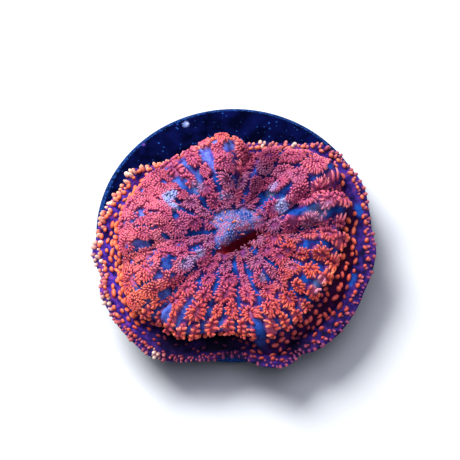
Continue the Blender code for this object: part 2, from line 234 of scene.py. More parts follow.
@dataclass(frozen=True)
class PolypForm:
    """The polyp's shape: its upper skin over arc length from the mouth and angle, and its underside.

    Values round the polyp are evenly spaced from +X towards +Y, and heights are above the disc.
    """

    mouth: tuple[float, float] = (0.0, -3.0)
    disc_top: float = 5.0
    centre_height: float = 5.0
    margin_reach: tuple[float, ...] = (
        19.0, 19.1, 19.6, 19.3, 16.9, 15.2, 15.1, 15.2, 15.1, 16.2, 17.6, 18.2,
        18.8, 18.9, 19.5, 19.8, 19.4, 17.7, 16.4, 18.3, 18.9, 19.2, 19.1, 19.2)
    crown_share: tuple[float, ...] = (
        0.80, 0.85, 0.83, 0.86, 0.88, 0.82, 0.81, 0.84, 0.82, 0.83, 0.80, 0.74)
    crown_height: tuple[float, ...] = (5.9, 6.4, 6.9, 7.7, 7.8, 7.1, 6.6, 6.3, 5.7, 5.3, 5.1, 5.3)
    brim_height: tuple[float, ...] = (2.3, 2.7, 2.6, 1.8, 1.8, 2.5, 2.5, 2.0, 1.5, 1.1, 1.2, 1.6)
    wall_tuck: tuple[float, ...] = (
        -1.1, -0.6, -0.3, -0.1, 0.0, 0.3, 0.4, 0.3, 0.2, -0.2, -0.6, -0.7,
        -0.8, -0.7, -0.6, -0.2, 1.2, 2.3, 1.9, -1.4, -0.9, -1.6, -1.9, -1.6)
    brim_start: float = 0.15
    ring_arcs: tuple[float, ...] = (0.0, 2.6, 5.2, 7.9, 10.6, 12.9, 14.7, 16.7, 18.2, 19.9, 21.5)
    crown_ring_reach: tuple[float, ...] = (0.0, 0.17, 0.35, 0.54, 0.74)
    crown_ring_rise: tuple[float, ...] = (0.0, 0.1, 0.4, 0.8, 1.0)
    shoulder_reach: float = 0.92
    drops: tuple[float, float, float] = (0.16, 0.5, 0.83)
    brim_ring_width: tuple[float, float] = (0.25, 0.62)
    brim_curl: float = 0.2
    fold_push: float = 0.45
    # How far the folds wander in radians, over what arc, and how much that differs round the polyp
    fold_wander: float = 0.10
    wander_arc: float = 2.9
    wander_bend: float = 2.5
    # Angle, half width in degrees, lift
    crown_folds: tuple[tuple[float, float, float], ...] = (
        (99, 10, 1.6), (81, 7, -1.5), (65, 7, 0.6), (51, 5, 0.3), (34, 8, 1.0), (23, 5, -1.3), (14, 6, 1.1),
        (3, 6, -1.4), (341, 6, -0.8), (330, 8, 0.7), (316, 7, -0.6), (291, 7, 0.9), (268, 9, 0.3),
        (247, 7, 0.5), (231, 5, -0.9), (216, 9, 0.8), (193, 5, -0.9), (169, 12, 0.5), (138, 6, -0.4),
        (118, 9, 0.4))
    # Angle, half width in degrees, lift, push outwards
    brim_folds: tuple[tuple[float, float, float, float], ...] = (
        (289, 7, 1.0, 0.7), (299, 4, -0.3, -0.7), (236, 5, 0.5, 0.4), (247, 6, -0.3, -0.2),
        (204, 5, 0.5, 0.4), (196, 4, -0.3, -0.3), (187, 5, 0.4, 0.5), (168, 6, 0.4, 0.0), (144, 5, 0.9, 0.4),
        (154, 5, -0.4, -0.2), (75, 6, 0.8, 0.1), (50, 6, 0.5, 0.1), (35, 5, -0.3, -0.2), (22, 5, 0.4, 0.1),
        (9, 5, -0.3, -0.2), (355, 5, 0.4, 0.3), (338, 5, -0.3, -0.2))
    # Waves round the edge, size, phase
    ruffles: tuple[tuple[int, float, float], ...] = ((13, 0.14, 0.6), (21, 0.10, 2.1))
    mouth_lumps: tuple[Oval, ...] = (
        Oval(0.3, 1.6, 3.8, 1.7, 5.0, 1.1), Oval(-1.1, -0.9, 1.8, 1.5, 75.0, 1.4))
    mouth_gape: Oval = Oval(1.5, -1.1, 2.8, 0.8, 30.0, -2.4)
    # Flat crimson skin below the left end of the gape
    mouth_crescent: Oval = Oval(-0.5, -2.5, 1.8, 0.7, 12.0, 0.0)
    # Soft lumps all over: height, waves for each mm in x and in y, phase
    swells: tuple[tuple[float, float, float, float], ...] = (
        (0.16, 0.95, 0.55, 0.3), (0.16, -0.50, 0.90, 1.7), (0.12, 1.35, -0.85, 4.1), (0.12, 0.35, 1.45, 2.6))
    brim_thickness: float = 0.75
    under_crown_share: float = 0.80
    # Reach and height of the stalk's sections, top to foot
    stalk: tuple[tuple[float, float], ...] = ((8.4, 1.7), (6.2, 1.0), (7.6, 0.02), (0.0, 0.02))

    @property
    def margin_arc(self) -> float:
        """Arc length from the mouth to the margin."""
        return self.ring_arcs[-1]

    def profile(self, angle: Array) -> tuple[Array, Array]:
        """Works out the profile at some angles.

        Args:
            angle: Angles in radians.

        Returns:
            Reach and height of each ring of the profile, ring by ring along the last axis.
        """
        margin = closed_curve(self.margin_reach, angle)
        crown = margin * closed_curve(self.crown_share, angle)
        top = closed_curve(self.crown_height, angle)
        brim = closed_curve(self.brim_height, angle)
        for middle, width, lift in self.crown_folds:
            bell = near_angle(angle, middle, width)
            top = top + lift * bell
            crown = crown + self.fold_push * lift * bell
        edge_lift, edge_push = 0.0 * top, 0.0 * top
        for middle, width, lift, push in self.brim_folds:
            bell = near_angle(angle, middle, width)
            edge_lift = edge_lift + lift * bell
            edge_push = edge_push + push * bell
        for waves, size, phase in self.ruffles:
            edge_lift = edge_lift + size * np.sin(waves * angle + phase)
        drop, width = top - brim, margin - crown
        inner, outer = self.brim_ring_width
        shoulder, edge, foot = self.drops
        reach = [share * crown for share in self.crown_ring_reach]
        height = [self.centre_height + rise * (top - self.centre_height) for rise in self.crown_ring_rise]
        wall_foot = crown - closed_curve(self.wall_tuck, angle)
        brim_inner = np.maximum(crown + inner * width, wall_foot + self.brim_start * (margin - wall_foot))
        reach += [self.shoulder_reach * crown, crown, wall_foot, brim_inner,
                  crown + outer * width + 0.4 * edge_push, margin + edge_push]
        height += [top - shoulder * drop, top - edge * drop, top - foot * drop,
                   brim + 0.3 * edge_lift, brim + 0.5 * self.brim_curl + 0.6 * edge_lift,
                   brim + self.brim_curl + edge_lift]
        return np.stack(reach, -1), np.stack(height, -1)

    def turned(self, arc: Array, angle: Array) -> Array:
        """Angle at which the profile is read, so that the folds wander."""
        fading = 1 - (arc / self.margin_arc) ** 2
        wave = np.sin(arc / self.wander_arc + self.wander_bend * np.sin(angle))
        return angle + self.fold_wander * wave * fading

    def fold(self, arc: Array, angle: Array) -> Array:
        """Lift of the crown's folds at each place, above 0 on a ridge and below 0 in a valley."""
        turned = self.turned(arc, angle)
        lift = sum(up * near_angle(turned, middle, width) for middle, width, up in self.crown_folds)
        return lift * smooth_step(3.0, 9.0, arc)

    def mouth_mass(self, x: Array, y: Array) -> Array:
        """Share of the mouth's lumps, gape and crescent at places measured from the mouth's middle."""
        ovals = (*self.mouth_lumps, self.mouth_gape, self.mouth_crescent)
        return np.max([oval.bell(x, y) for oval in ovals], 0)

    def skin(self, arc: Array, angle: Array) -> Array:
        """Finds points of the upper skin.

        Args:
            arc: Arc lengths from the mouth.
            angle: Angles in radians.

        Returns:
            Places in millimetres, x, y and z along the last axis.
        """
        arc, angle = np.broadcast_arrays(np.asarray(arc, float), np.asarray(angle, float))
        knots = np.array(self.ring_arcs)
        reach, height = self.profile(self.turned(arc, angle))
        ring = np.clip(np.searchsorted(knots, arc, side="right") - 1, 0, len(knots) - 2)
        span = knots[ring + 1] - knots[ring]
        part = (arc - knots[ring]) / span

        def smooth(values: Array, mirror: int) -> Array:
            """Smooth reading between rings; past the mouth the values are mirrored."""
            around, places = [], []
            for step in (-1, 0, 1, 2):
                index = ring + step
                kept = np.clip(index, 0, len(knots) - 1)
                found = np.take_along_axis(values, kept[..., None], -1)[..., 0]
                around.append(np.where(index < 0, mirror * values[..., 1], found))
                places.append(np.where(index < 0, -knots[1], knots[kept]))
            slope = (around[2] - around[0]) / (places[2] - places[0]) * span
            end_slope = (around[3] - around[1]) / (places[3] - places[1]) * span
            return hermite(around[1], around[2], slope, end_slope, part)

        out, up = smooth(reach, -1), smooth(height, 1)
        x, y = out * np.cos(angle), out * np.sin(angle)
        for oval in (*self.mouth_lumps, self.mouth_gape):
            up = up + oval.height * oval.bell(x, y)
        mask = smooth_step(3.0, 6.0, arc) * smooth_step(self.margin_arc - 1, self.margin_arc - 4, arc)
        for size, in_x, in_y, phase in self.swells:
            up = up + mask * size * np.sin(in_x * x + in_y * y + phase)
        return np.stack((x + self.mouth[0], y + self.mouth[1], up + self.disc_top), -1)

    def normal(self, arc: Array, angle: Array) -> Array:
        """Finds the outward unit normal of the upper skin at arc lengths and angles."""
        step, turn = 0.12, 0.012
        inner = np.maximum(np.asarray(arc, float) - step, 0.05)
        along = self.skin(np.minimum(inner + 2 * step, self.margin_arc), angle) - self.skin(inner, angle)
        middle = np.maximum(arc, 0.3)
        around = self.skin(middle, np.asarray(angle) + turn) - self.skin(middle, np.asarray(angle) - turn)
        return unit(np.cross(along, around))

    def reach(self, arc: Array, angle: Array) -> Array:
        """Level distance from the mouth's middle."""
        place = self.skin(arc, angle)
        return np.hypot(place[..., 0] - self.mouth[0], place[..., 1] - self.mouth[1])

    def underside(self, share: Array, angle: Array) -> Array:
        """Finds points of the underside.

        Args:
            share: From 0 at the margin to 1 at the middle of the foot.
            angle: Angles in radians.

        Returns:
            Places in millimetres, x, y and z along the last axis.
        """
        share, angle = np.broadcast_arrays(np.asarray(share, float), np.asarray(angle, float))
        reach, height = self.profile(angle)
        margin, crown, brim, inner_brim = reach[..., -1], reach[..., 6], height[..., -1], height[..., 8]
        thick = self.brim_thickness
        round_out = margin / margin.mean()
        rows = [(margin, brim), (margin + 0.04, brim - 0.3 * thick), (margin - 0.35, brim - 0.75 * thick),
                (0.5 * (margin + crown), 0.5 * (brim + inner_brim) - thick),
                (self.under_crown_share * crown, inner_brim - 0.4 * thick)]
        rows += [(out * round_out, up + 0 * crown) for out, up in self.stalk]
        outs, ups = (np.stack([row[k] for row in rows], -1) for k in (0, 1))
        place = share * (len(rows) - 1)
        whole = np.clip(np.floor(place).astype(int), 0, len(rows) - 2)
        part = place - whole

        def smooth(values: Array) -> Array:
            """Smooth reading between rows."""
            last = len(rows) - 1
            around = [np.take_along_axis(values, np.clip(whole + step, 0, last)[..., None], -1)[..., 0]
                      for step in (-1, 0, 1, 2)]
            slopes = (around[2] - around[0]) / 2, (around[3] - around[1]) / 2
            return hermite(around[1], around[2], *slopes, part)

        out, up = smooth(outs), np.maximum(smooth(ups), self.stalk[-1][1])
        return np.stack((out * np.cos(angle) + self.mouth[0], out * np.sin(angle) + self.mouth[1],
                         up + self.disc_top), -1)


class PatchKind(Enum):
    """What a marked patch of the skin looks like."""

    PALE = "bleached to a pale blue, tentacles and all"
    BARE = "open blue skin with no tentacles"


@dataclass(frozen=True)
class Patch:
    """An oval patch of skin: its middle as angle and arc, and its half sizes along and across a row."""

    kind: PatchKind
    angle_deg: float
    arc: float
    half_length: float
    half_width: float
    strength: float = 1.0

    def weight(self, form: PolypForm, arc: Array, angle: Array) -> Array:
        """Share of the patch at each place, from 1 inside to 0 outside."""
        along = (arc - self.arc) / self.half_length
        middle = form.reach(np.array(self.arc), np.array(math.radians(self.angle_deg)))
        across = turn_between(angle, self.angle_deg) * middle / self.half_width
        return self.strength * smooth_step(1.35, 0.65, np.hypot(along, across))


def scattered_spots(count: int, seed: int) -> tuple[Patch, ...]:
    """Small open spots all over the left shoulder."""
    rng = np.random.default_rng(seed)
    return tuple(Patch(PatchKind.BARE, rng.uniform(135, 225), rng.uniform(7.0, 14.0),
                       rng.uniform(0.32, 0.55), rng.uniform(0.28, 0.44)) for _ in range(count))


# Angle, arc, half length, half width, strength
PALE_PATCHES = (
    (153, 9.7, 0.6, 1.0, 1.0), (160, 8.7, 0.7, 0.5, 0.95), (215, 5.0, 0.8, 0.6, 0.55),
    (217, 7.0, 1.5, 0.7, 0.45), (48, 7.1, 0.9, 0.7, 0.5), (29, 6.5, 0.9, 0.8, 0.75),
    (104, 5.4, 0.5, 0.9, 0.35), (14, 10.4, 1.6, 0.7, 0.25), (299, 7.4, 0.7, 0.6, 0.45),
    (326, 13.1, 0.6, 0.5, 0.35), (130, 8.2, 1.0, 0.8, 0.3))
# Angle, arc, half length, half width
BARE_PATCHES = (
    (167, 7.9, 0.5, 0.5), (16, 7.9, 1.0, 0.55), (55, 6.2, 0.5, 0.5), (12, 11.9, 0.6, 0.4),
    (109, 10.6, 1.7, 0.6), (95, 11.2, 0.9, 0.6), (224, 11.3, 0.7, 0.6), (232, 12.8, 1.1, 0.6),
    (283, 13.9, 2.7, 0.80), (36, 13.4, 0.5, 0.4), (15, 19.4, 0.9, 1.0), (341, 19.4, 0.7, 1.0))
PATCHES: tuple[Patch, ...] = (
    *(Patch(PatchKind.PALE, *row) for row in PALE_PATCHES),
    *(Patch(PatchKind.BARE, *row) for row in BARE_PATCHES),
    *scattered_spots(44, 5),
)


def patch_weight(form: PolypForm, kind: PatchKind, arc: Array, angle: Array) -> Array:
    """Share of the strongest patch of one kind at each place."""
    total = np.zeros(np.broadcast(arc, angle).shape)
    for patch in PATCHES:
        if patch.kind is kind:
            total = np.maximum(total, patch.weight(form, arc, angle))
    return total


@dataclass(frozen=True)
class Zone:
    """A soft-edged zone of the skin.

    Attributes:
        share: Its strength in the middle.
        angle_deg: Angle of its middle.
        half_width_deg: Its half width.
        borders: Arcs between which it comes up from nothing, one pair for each border it has.
    """

    share: float
    angle_deg: float
    half_width_deg: float
    borders: tuple[tuple[float, float], ...] = ()

    def weight(self, arc: Array, angle: Array) -> Array:
        """Its strength at each place."""
        weight = self.share * near_angle(angle, self.angle_deg, self.half_width_deg)
        for start, end in self.borders:
            weight = weight * smooth_step(start, end, arc)
        return weight


def strongest(zones: tuple[Zone, ...], arc: Array, angle: Array) -> Array:
    """Strength of the strongest zone at each place."""
    return np.maximum.reduce([zone.weight(arc, angle) for zone in zones])


# Painted light on the crown: left shoulder, upper right crest, top lobe, right flank
PAINTED_LIGHT_CROWN = (
    Zone(1.0, 180, 50, ((6.5, 11.0),)), Zone(1.0, 50, 24, ((8.5, 12.0),)),
    Zone(1.0, 108, 22, ((8.0, 12.0),)), Zone(0.7, 0, 45, ((7.0, 11.0),)))
# Painted shade in the deep valley behind the mouth
PAINTED_SHADE_VALLEY = Zone(1.0, 69, 11, ((14.5, 11.0), (2.5, 5.0)))
# Painted shade in the same valley, and on the skin below the gape
PAINTED_SHADE_CROWN = (Zone(0.75, 67, 13, ((14.5, 11.5), (2.0, 5.0))), Zone(0.85, 270, 55, ((5.2, 2.8),)))
# Near-black painted shadow: two hollows between the crown's wall and the brim in front, the edge below each,
# and a notch on the right
PAINTED_SHADOW_ZONES = (
    Zone(1.05, 262, 17, ((14.4, 15.6), (21.2, 19.0))), Zone(0.945, 241, 15, ((14.4, 15.6), (21.2, 19.0))),
    Zone(0.95, 269, 10, ((17.0, 18.5),)), Zone(0.874, 246, 20, ((17.0, 18.5),)),
    Zone(0.9, 299, 6, ((15.6, 17.0),)))
# Painted shade at the crown's wall: right and front right
PAINTED_SHADE_WALL = (Zone(0.65, 350, 38), Zone(0.39, 315, 30))
# Right front, one star-like tuft on the right, the lip below the gape, top lobe
WARM_CROWN = (
    Zone(0.5, 338, 26, ((5.5, 7.5),)), Zone(0.8, 347, 9, ((5.8, 6.6), (9.2, 8.2))),
    Zone(0.5, 310, 60, ((5.4, 3.6),)), Zone(0.6, 97, 12, ((11.0, 13.0),)))
# Top lobe, left shoulder
LILAC_SKIN = (Zone(1.0, 104, 24, ((7.5, 9.5),)), Zone(0.75, 190, 65, ((8.0, 11.0),)))


def crown_painted_light(arc: Array, angle: Array) -> Array:
    """Share of painted light on the crown's tentacles: high on the left shoulder and the upper crests, lower
    in the valley's painted shade.
    """
    front = 0.75 * smooth_step(9.5, 13.5, arc) * smooth_step(-0.2, 0.5, -np.sin(angle))
    valley = PAINTED_SHADE_VALLEY.weight(arc, angle)
    bright = np.maximum(strongest(PAINTED_LIGHT_CROWN, arc, angle), front) * (1 - 0.7 * valley)
    return np.clip(0.35 + 0.65 * bright - 0.3 * valley, 0, 1)


def painted_shade_share(fold: Array, arc: Array, angle: Array) -> Array:
    """Share of painted shade, a dark crimson, in the crown's tentacles, which are darker in the valleys
    between the folds.
    """
    creases = 0.75 * np.clip(-fold, 0, 1) * smooth_step(5.0, 9.0, arc)
    centre = 0.35 * smooth_step(7.0, 3.5, arc)
    return np.clip(np.maximum.reduce([creases, centre, strongest(PAINTED_SHADE_CROWN, arc, angle)]), 0, 1)


def painted_shadow_share(arc: Array, angle: Array) -> Array:
    """Share of near-black painted shadow."""
    return np.clip(strongest(PAINTED_SHADOW_ZONES, arc, angle), 0, 1)


def wall_painted_shade_share(arc: Array, angle: Array) -> Array:
    """Share of painted shade, a dark crimson, at the crown's wall, most of all on the right."""
    side = 0.25 + strongest(PAINTED_SHADE_WALL, arc, angle)
    return side * smooth_step(13.6, 15.0, arc) * smooth_step(18.2, 16.6, arc)


def brim_painted_light_share(angle: Array) -> Array:
    """Share of painted light on the brim: high on the left, middling at the top, low at the front right."""
    return np.clip(0.4 + 0.6 * near_angle(angle, 195, 55) - 0.4 * near_angle(angle, 318, 60), 0, 1)


@dataclass(frozen=True)
class Tuft:
    """A tentacle tuft: the place of its middle, and its half sizes across and along its row."""

    arc: float
    angle: float
    reach: float
    half_width: float
    half_length: float


@dataclass(frozen=True)
class RowPlan:
    """Rows of tufts that start round the mouth and fork as the disc widens."""

    form: PolypForm
    first_rows: int = 8
    first_turn_deg: float = 2
    front_channel_deg: float = 287
    first_arc: float = 3.1
    last_arc: float = 14.4
    fork_width: float = 3.35
    spacing: float = 2.05
    channel_width: float = 0.5
    # Most that a row's width at its fork differs, shares of the spacing, and half a tuft's share of it
    fork_slack: float = 0.35
    spacing_shares: tuple[float, float] = (0.9, 1.08)
    half_length_share: float = 0.46
    seed: int = 7
    # How far the rows wander: size in radians, radians for each mm of arc, waves round, phase
    wander: tuple[tuple[float, float, int, float], ...] = ((0.055, 0.62, 3, 0.4), (0.040, 1.15, 5, 1.9))
    # Smallest and largest share of its room that a tuft fills, across and along its row
    fill: tuple[tuple[float, float], tuple[float, float]] = ((0.80, 1.04), (0.90, 1.20))

    def fork(self, low: float, high: float, rng: np.random.Generator) -> float:
        """Angle at which a row forks: the front channel if that crosses its middle, or near its middle."""
        share = (math.radians(self.front_channel_deg) - low) / (high - low)
        if not 0.25 < share < 0.75:
            share = 0.5 + rng.uniform(-0.08, 0.08)
        return low + share * (high - low)

    def tufts(self) -> list[Tuft]:
        """Lays the tufts out.

        Returns:
            The tufts, row by row.
        """
        rng = np.random.default_rng(self.seed)
        sector, first = TAU / self.first_rows, math.radians(self.first_turn_deg)
        rows = [(first + k * sector, first + (k + 1) * sector, self.first_arc + rng.uniform(0.0, 0.5))
                for k in range(self.first_rows)]
        found: list[Tuft] = []
        while rows:
            low, high, arc = rows.pop(0)
            while arc < self.last_arc:
                middle = (low + high) / 2
                reach = float(self.form.reach(np.array(arc), np.array(middle)))
                width = (high - low) * reach
                if width > self.fork_width + rng.uniform(-self.fork_slack, self.fork_slack):
                    cut = self.fork(low, high, rng)
                    rows += [(low, cut, arc + rng.uniform(-0.3, 0.1)),
                             (cut, high, arc + rng.uniform(-0.1, 0.3))]
                    break
                spacing = self.spacing * rng.uniform(*self.spacing_shares)
                found.append(Tuft(arc, middle, reach, (width - self.channel_width) / 2,
                                  self.half_length_share * spacing))
                arc += spacing
        return self.loosen(found)

    def loosen(self, tufts: list[Tuft]) -> list[Tuft]:
        """Lets the rows wander and the tufts differ in size."""
        rng = np.random.default_rng(self.seed + 1)
        loose = []
        for tuft in tufts:
            turn = sum(size * math.sin(pitch * tuft.arc + waves * tuft.angle + phase)
                       for size, pitch, waves, phase in self.wander)
            turn *= min(1.0, max(0.0, (14.0 - tuft.arc) / 4))
            across, along = (rng.uniform(*share) for share in self.fill)
            loose.append(Tuft(tuft.arc + rng.uniform(-0.12, 0.12), tuft.angle + turn, tuft.reach,
                              tuft.half_width * across, tuft.half_length * along))
        return loose


@dataclass(frozen=True)
class Finish:
    """A surface finish: its name, its gloss, how far light spreads inside it and how much painted light it
    gives off.

    That painted light is an emission in the surface's own colour, which brightens its shade; it stands for
    the fluorescence of living coral tissue.
    """

    name: str
    roughness: float
    specular: float = 0.5
    scatter: float = 0.0
    painted_light: float = 0.0
    scatter_colour: tuple[float, float, float] = (1.0, 0.4, 0.45)
    scatter_depth: float = 0.45
    grain_size: float = 0.2
    grain_depth: float = 0.03
    grain_strength: float = 0.6

    def material(self) -> bpy.types.Material:
        """Makes the material."""
        material = bpy.data.materials.new(self.name)
        material.use_nodes = True
        tree = material.node_tree
        shader = tree.nodes["Principled BSDF"]
        shader.inputs["Roughness"].default_value = self.roughness
        shader.inputs["Specular IOR Level"].default_value = self.specular
        shader.inputs["Subsurface Weight"].default_value = self.scatter
        shader.inputs["Subsurface Radius"].default_value = self.scatter_colour
        shader.inputs["Subsurface Scale"].default_value = self.scatter_depth * MM
        # Painted light: the surface gives off its own colour as an emission
        shader.inputs["Emission Strength"].default_value = self.painted_light
        colour = self.paint(tree, shader)
        tree.links.new(colour, shader.inputs["Base Color"])
        if self.painted_light:
            tree.links.new(colour, shader.inputs["Emission Color"])
        return material

    def paint(self, tree: Tree, shader: bpy.types.Node) -> Socket:
        """Adds the finish's own colour and bump nodes, and returns the colour's socket."""
        raise NotImplementedError

    def grain(self, tree: Tree, shader: bpy.types.Node) -> Socket:
        """Adds a fine bump, and returns its noise for colours that follow the grain."""
        height = noise(tree, self.grain_size)
        feeds = {"Height": height, "Distance": self.grain_depth * MM, "Strength": self.grain_strength}
        bump = add_node(tree, "ShaderNodeBump", feeds)
        tree.links.new(bump.outputs["Normal"], shader.inputs["Normal"])
        return height


@dataclass(frozen=True)
class TentacleFinish(Finish):
    """Living tentacle tissue, soft, with painted light for its fluorescence: dark at the root and brightest
    at the tip.

    The attributes are along (0 at the root, 1 at the tip, scaled by painted light), warmth (0 brick pink, 1
    orange), tone (light or dark, one value a tentacle), the valley's painted shade (share of its dark
    crimson) and pale (share bleached, on the fringe also painted highlight).
    """

    cool: tuple[str, str, str] = ("#681E58", "#C45884", "#FF92A2")
    warm: tuple[str, str, str] = ("#6C1834", "#E65C48", "#FF9C6C")
    # Dark crimson of the painted shade in the valleys
    painted_shade_colour: str = "#5C1030"
    pale_colour: str = "#A0B0EC"
    dark_share: float = 0.4
    grain_size: float = 0.16

    def paint(self, tree: Tree, shader: bpy.types.Node) -> Socket:
        """Adds the colours along the tentacle and the pebbled surface."""
        along, warmth, tone, dusk, pale = attributes(tree, "along", "warmth", "tone", "dusk", "pale")
        cool, warm = (ramp(tree, along, (0.08, 0.5, 0.95), colours) for colours in (self.cool, self.warm))
        colour = mix(tree, warmth, cool, warm)
        colour = mix(tree, dusk, colour, linear(self.painted_shade_colour))
        colour = mix(tree, pale, colour, linear(self.pale_colour))
        grain = self.grain(tree, shader)
        dark = remap(tree, calculate(tree, "MULTIPLY", grain, tone), 0.1, 0.5, self.dark_share, 0.0)
        return mix(tree, dark, colour, linear(self.cool[0]))


@dataclass(frozen=True)
class SkinFinish(Finish):
    """Living oral disc tissue: blue channels between tuft beds that painted shade darkens, and a mottled
    purple brim.

    The attributes are bed, bright (painted light on the beds), row, brim, lit (painted light on the brim),
    the wall's painted shade, the hollows' near-black painted shadow, lilac, pale, mouth, gape and under, each
    a share from 0 to 1.
    """

    # Tuft beds in painted shade and in painted light
    bed_painted_light_colours: tuple[str, str] = ("#5C246C", "#D8688C")
    gap: str = "#30206C"
    mouth_colours: tuple[str, str, str, str] = ("#143890", "#3C5CA8", "#84689C", "#B0587C")
    # Dark crimson of the painted shade at the crown's wall
    wall_painted_shade_colour: str = "#38081A"
    channel_colours: tuple[str, str] = ("#102C78", "#1850B0")
    lilac_colours: tuple[str, str] = ("#504CB4", "#7488E4")
    painted_shade_brim_colours: tuple[str, str, str, str] = ("#0C0624", "#1E0E48", "#30196C", "#4C2064")
    painted_light_brim_colours: tuple[str, str, str, str] = ("#1C0A50", "#3C2088", "#5434AC", "#8C3C90")
    # Near-black painted shadow in the hollows under the crown's front
    painted_shadow_colour: str = "#0A0618"
    pale_colour: str = "#A8C0F0"
    gape_colour: str = "#640C18"
    under_colour: str = "#2E1A48"
    speckle: str = "#12103A"
    grain_size: float = 0.22
    grain_depth: float = 0.05
    cloud_size: float = 0.9
    mottle_size: float = 1.6

    def paint(self, tree: Tree, shader: bpy.types.Node) -> Socket:
        """Adds the zones of the skin and their mottling."""
        grain = self.grain(tree, shader)
        cloud = noise(tree, self.cloud_size, 3.0)
        mottle = noise(tree, self.mottle_size, 6.0, 0.75)
        channel, lilac = (ramp(tree, cloud, (0.36, 0.60), colours)
                          for colours in (self.channel_colours, self.lilac_colours))
        # The brim's colours in painted shade and in painted light, mixed by the lit share
        brims = [ramp(tree, cloud, (0.33, 0.47, 0.57, 0.68), colours)
                 for colours in (self.painted_shade_brim_colours, self.painted_light_brim_colours)]
        bright, lit = attributes(tree, "bright", "lit")
        # Each zone lies over those before it
        layers = {
            "lilac": lilac,
            "row": linear(self.gap),
            "bed": mix(tree, bright, *map(linear, self.bed_painted_light_colours)),
            "brim": mix(tree, lit, *brims),
            "wall_painted_shade": linear(self.wall_painted_shade_colour),
            "painted_shadow": linear(self.painted_shadow_colour),
            "pale": linear(self.pale_colour),
            "mouth": ramp(tree, mottle, (0.40, 0.46, 0.52, 0.58), self.mouth_colours),
            "gape": linear(self.gape_colour),
            "under": linear(self.under_colour),
        }
        colour = channel
        for share, layer in zip(attributes(tree, *layers), layers.values()):
            colour = mix(tree, share, colour, layer)
        return mix(tree, remap(tree, grain, 0.35, 0.6, 0.35, 0.0), colour, linear(self.speckle))


@dataclass(frozen=True)
class CeramicFinish(Finish):
    """Black ceramic with a fine pressed grain, tinted navy, with blue dust specks and a grainy painted
    highlight along its top edge.
    """

    body: tuple[str, str] = ("#01021A", "#060C40")
    speck: str = "#2A5CB0"
    speck_spacing: float = 0.8
    # Drawn coarser than real ceramic grain, so that it shows
    grain_size: float = 0.2
    grain_depth: float = 0.025
    cloud_size: float = 2.5
    painted_highlight_radius: float = 18.35
    # Crust flecks: x, y, radius, colour
    flecks: tuple[tuple[float, float, float, str], ...] = (
        (-6.8, 16.2, 0.85, "#7080B8"), (-6.6, 16.3, 0.45, "#A4ACD4"), (-12.7, 13.0, 0.45, "#5A3C88"))

    def paint(self, tree: Tree, shader: bpy.types.Node) -> Socket:
        """Adds the clouded body, the specks, the painted highlight along the edge and the pressed grain."""
        grain = self.grain(tree, shader)
        cloud = noise(tree, self.cloud_size, 4.0)
        body = ramp(tree, cloud, (0.4, 0.65), self.body)
        place = add_node(tree, "ShaderNodeTexCoord").outputs["Object"]
        scale = 1 / (self.speck_spacing * MM)
        cells = add_node(tree, "ShaderNodeTexVoronoi", {"Vector": place, "Scale": scale})
        dots = remap(tree, cells.outputs["Distance"], 0.08, 0.20, 1.0, 0.0)
        specks = calculate(tree, "MULTIPLY", dots, remap(tree, cloud, 0.44, 0.60, 0.12, 0.9))
        level = {0: place, 1: (1, 1, 0)}
        flat = add_node(tree, "ShaderNodeVectorMath", level, operation="MULTIPLY").outputs[0]
        out = add_node(tree, "ShaderNodeVectorMath", {0: flat}, operation="LENGTH").outputs["Value"]
        # Painted highlight: a grainy blue line where the top face meets the chamfer
        rim = remap(tree, out, (self.painted_highlight_radius - 0.12) * MM, (self.painted_highlight_radius + 0.08) * MM)
        edge = calculate(tree, "MULTIPLY", rim, remap(tree, grain, 0.42, 0.66, 0.0, 0.75))
        colour = mix(tree, calculate(tree, "MAXIMUM", specks, edge), body, linear(self.speck))
        for x, y, radius, crust in self.flecks:
            ends = {0: flat, 1: (x * MM, y * MM, 0)}
            off = add_node(tree, "ShaderNodeVectorMath", ends, operation="DISTANCE")
            near = remap(tree, off.outputs["Value"], 0.0, radius * MM, 1.0, 0.0)
            ragged = calculate(tree, "ADD", near, grain)
            colour = mix(tree, remap(tree, ragged, 0.85, 1.15, 0.0, 0.9), colour, linear(crust))
        return colour


@dataclass(frozen=True)
class PaintFinish(Finish):
    """Plain pale studio paint, very slightly uneven."""

    colours: tuple[str, str] = ("#D6D9DE", "#DEE1E5")

    def paint(self, tree: Tree, shader: bpy.types.Node) -> Socket:
        """Adds the faint unevenness."""
        return ramp(tree, noise(tree, 30.0), (0.3, 0.7), self.colours)


def begin_shape() -> None:
    """Leaves edit mode and deselects everything, so that an operator acts on the new piece alone."""
    if bpy.context.object and bpy.context.object.mode != "OBJECT":
        bpy.ops.object.mode_set(mode="OBJECT")
    bpy.ops.object.select_all(action="DESELECT")


def dress(piece: bpy.types.Object, name: str, material: bpy.types.Material, node: str) -> None:
    """Names a finished piece, gives it its material and ties it to the frame.

    Args:
        piece: The piece, in place.
        name: Its name.
        material: Its material.
        node: The solid that it stands for.
    """
    piece.name = piece.data.name = name
    piece.data.materials.clear()
    piece.data.materials.append(material)
    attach(piece, BODY)
    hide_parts(node)
    log.info("%s: %d faces", name, len(piece.data.polygons))


def start_edit() -> None:
    """Opens the new piece for editing, with all of it selected."""
    bpy.ops.object.mode_set(mode="EDIT")
    bpy.ops.mesh.select_all(action="SELECT")


def end_edit() -> bpy.types.Object:
    """Turns all faces outwards, leaves edit mode and returns the piece."""
    bpy.ops.mesh.select_all(action="SELECT")
    bpy.ops.mesh.normals_make_consistent(inside=False)
    bpy.ops.object.mode_set(mode="OBJECT")
    return bpy.context.object


def extrude_sections(sections: tuple[tuple[float, float], ...], scale: float = 1.0) -> None:
    """Extrudes and scales the selected face from section to section, each a height and a radius."""
    for (height, radius), (next_height, next_radius) in zip(sections, sections[1:]):
        rise = (next_height - height) * scale
        bpy.ops.mesh.extrude_region_move(TRANSFORM_OT_translate={"value": (0, 0, rise)})
        bpy.ops.transform.resize(value=(next_radius / radius, next_radius / radius, 1))


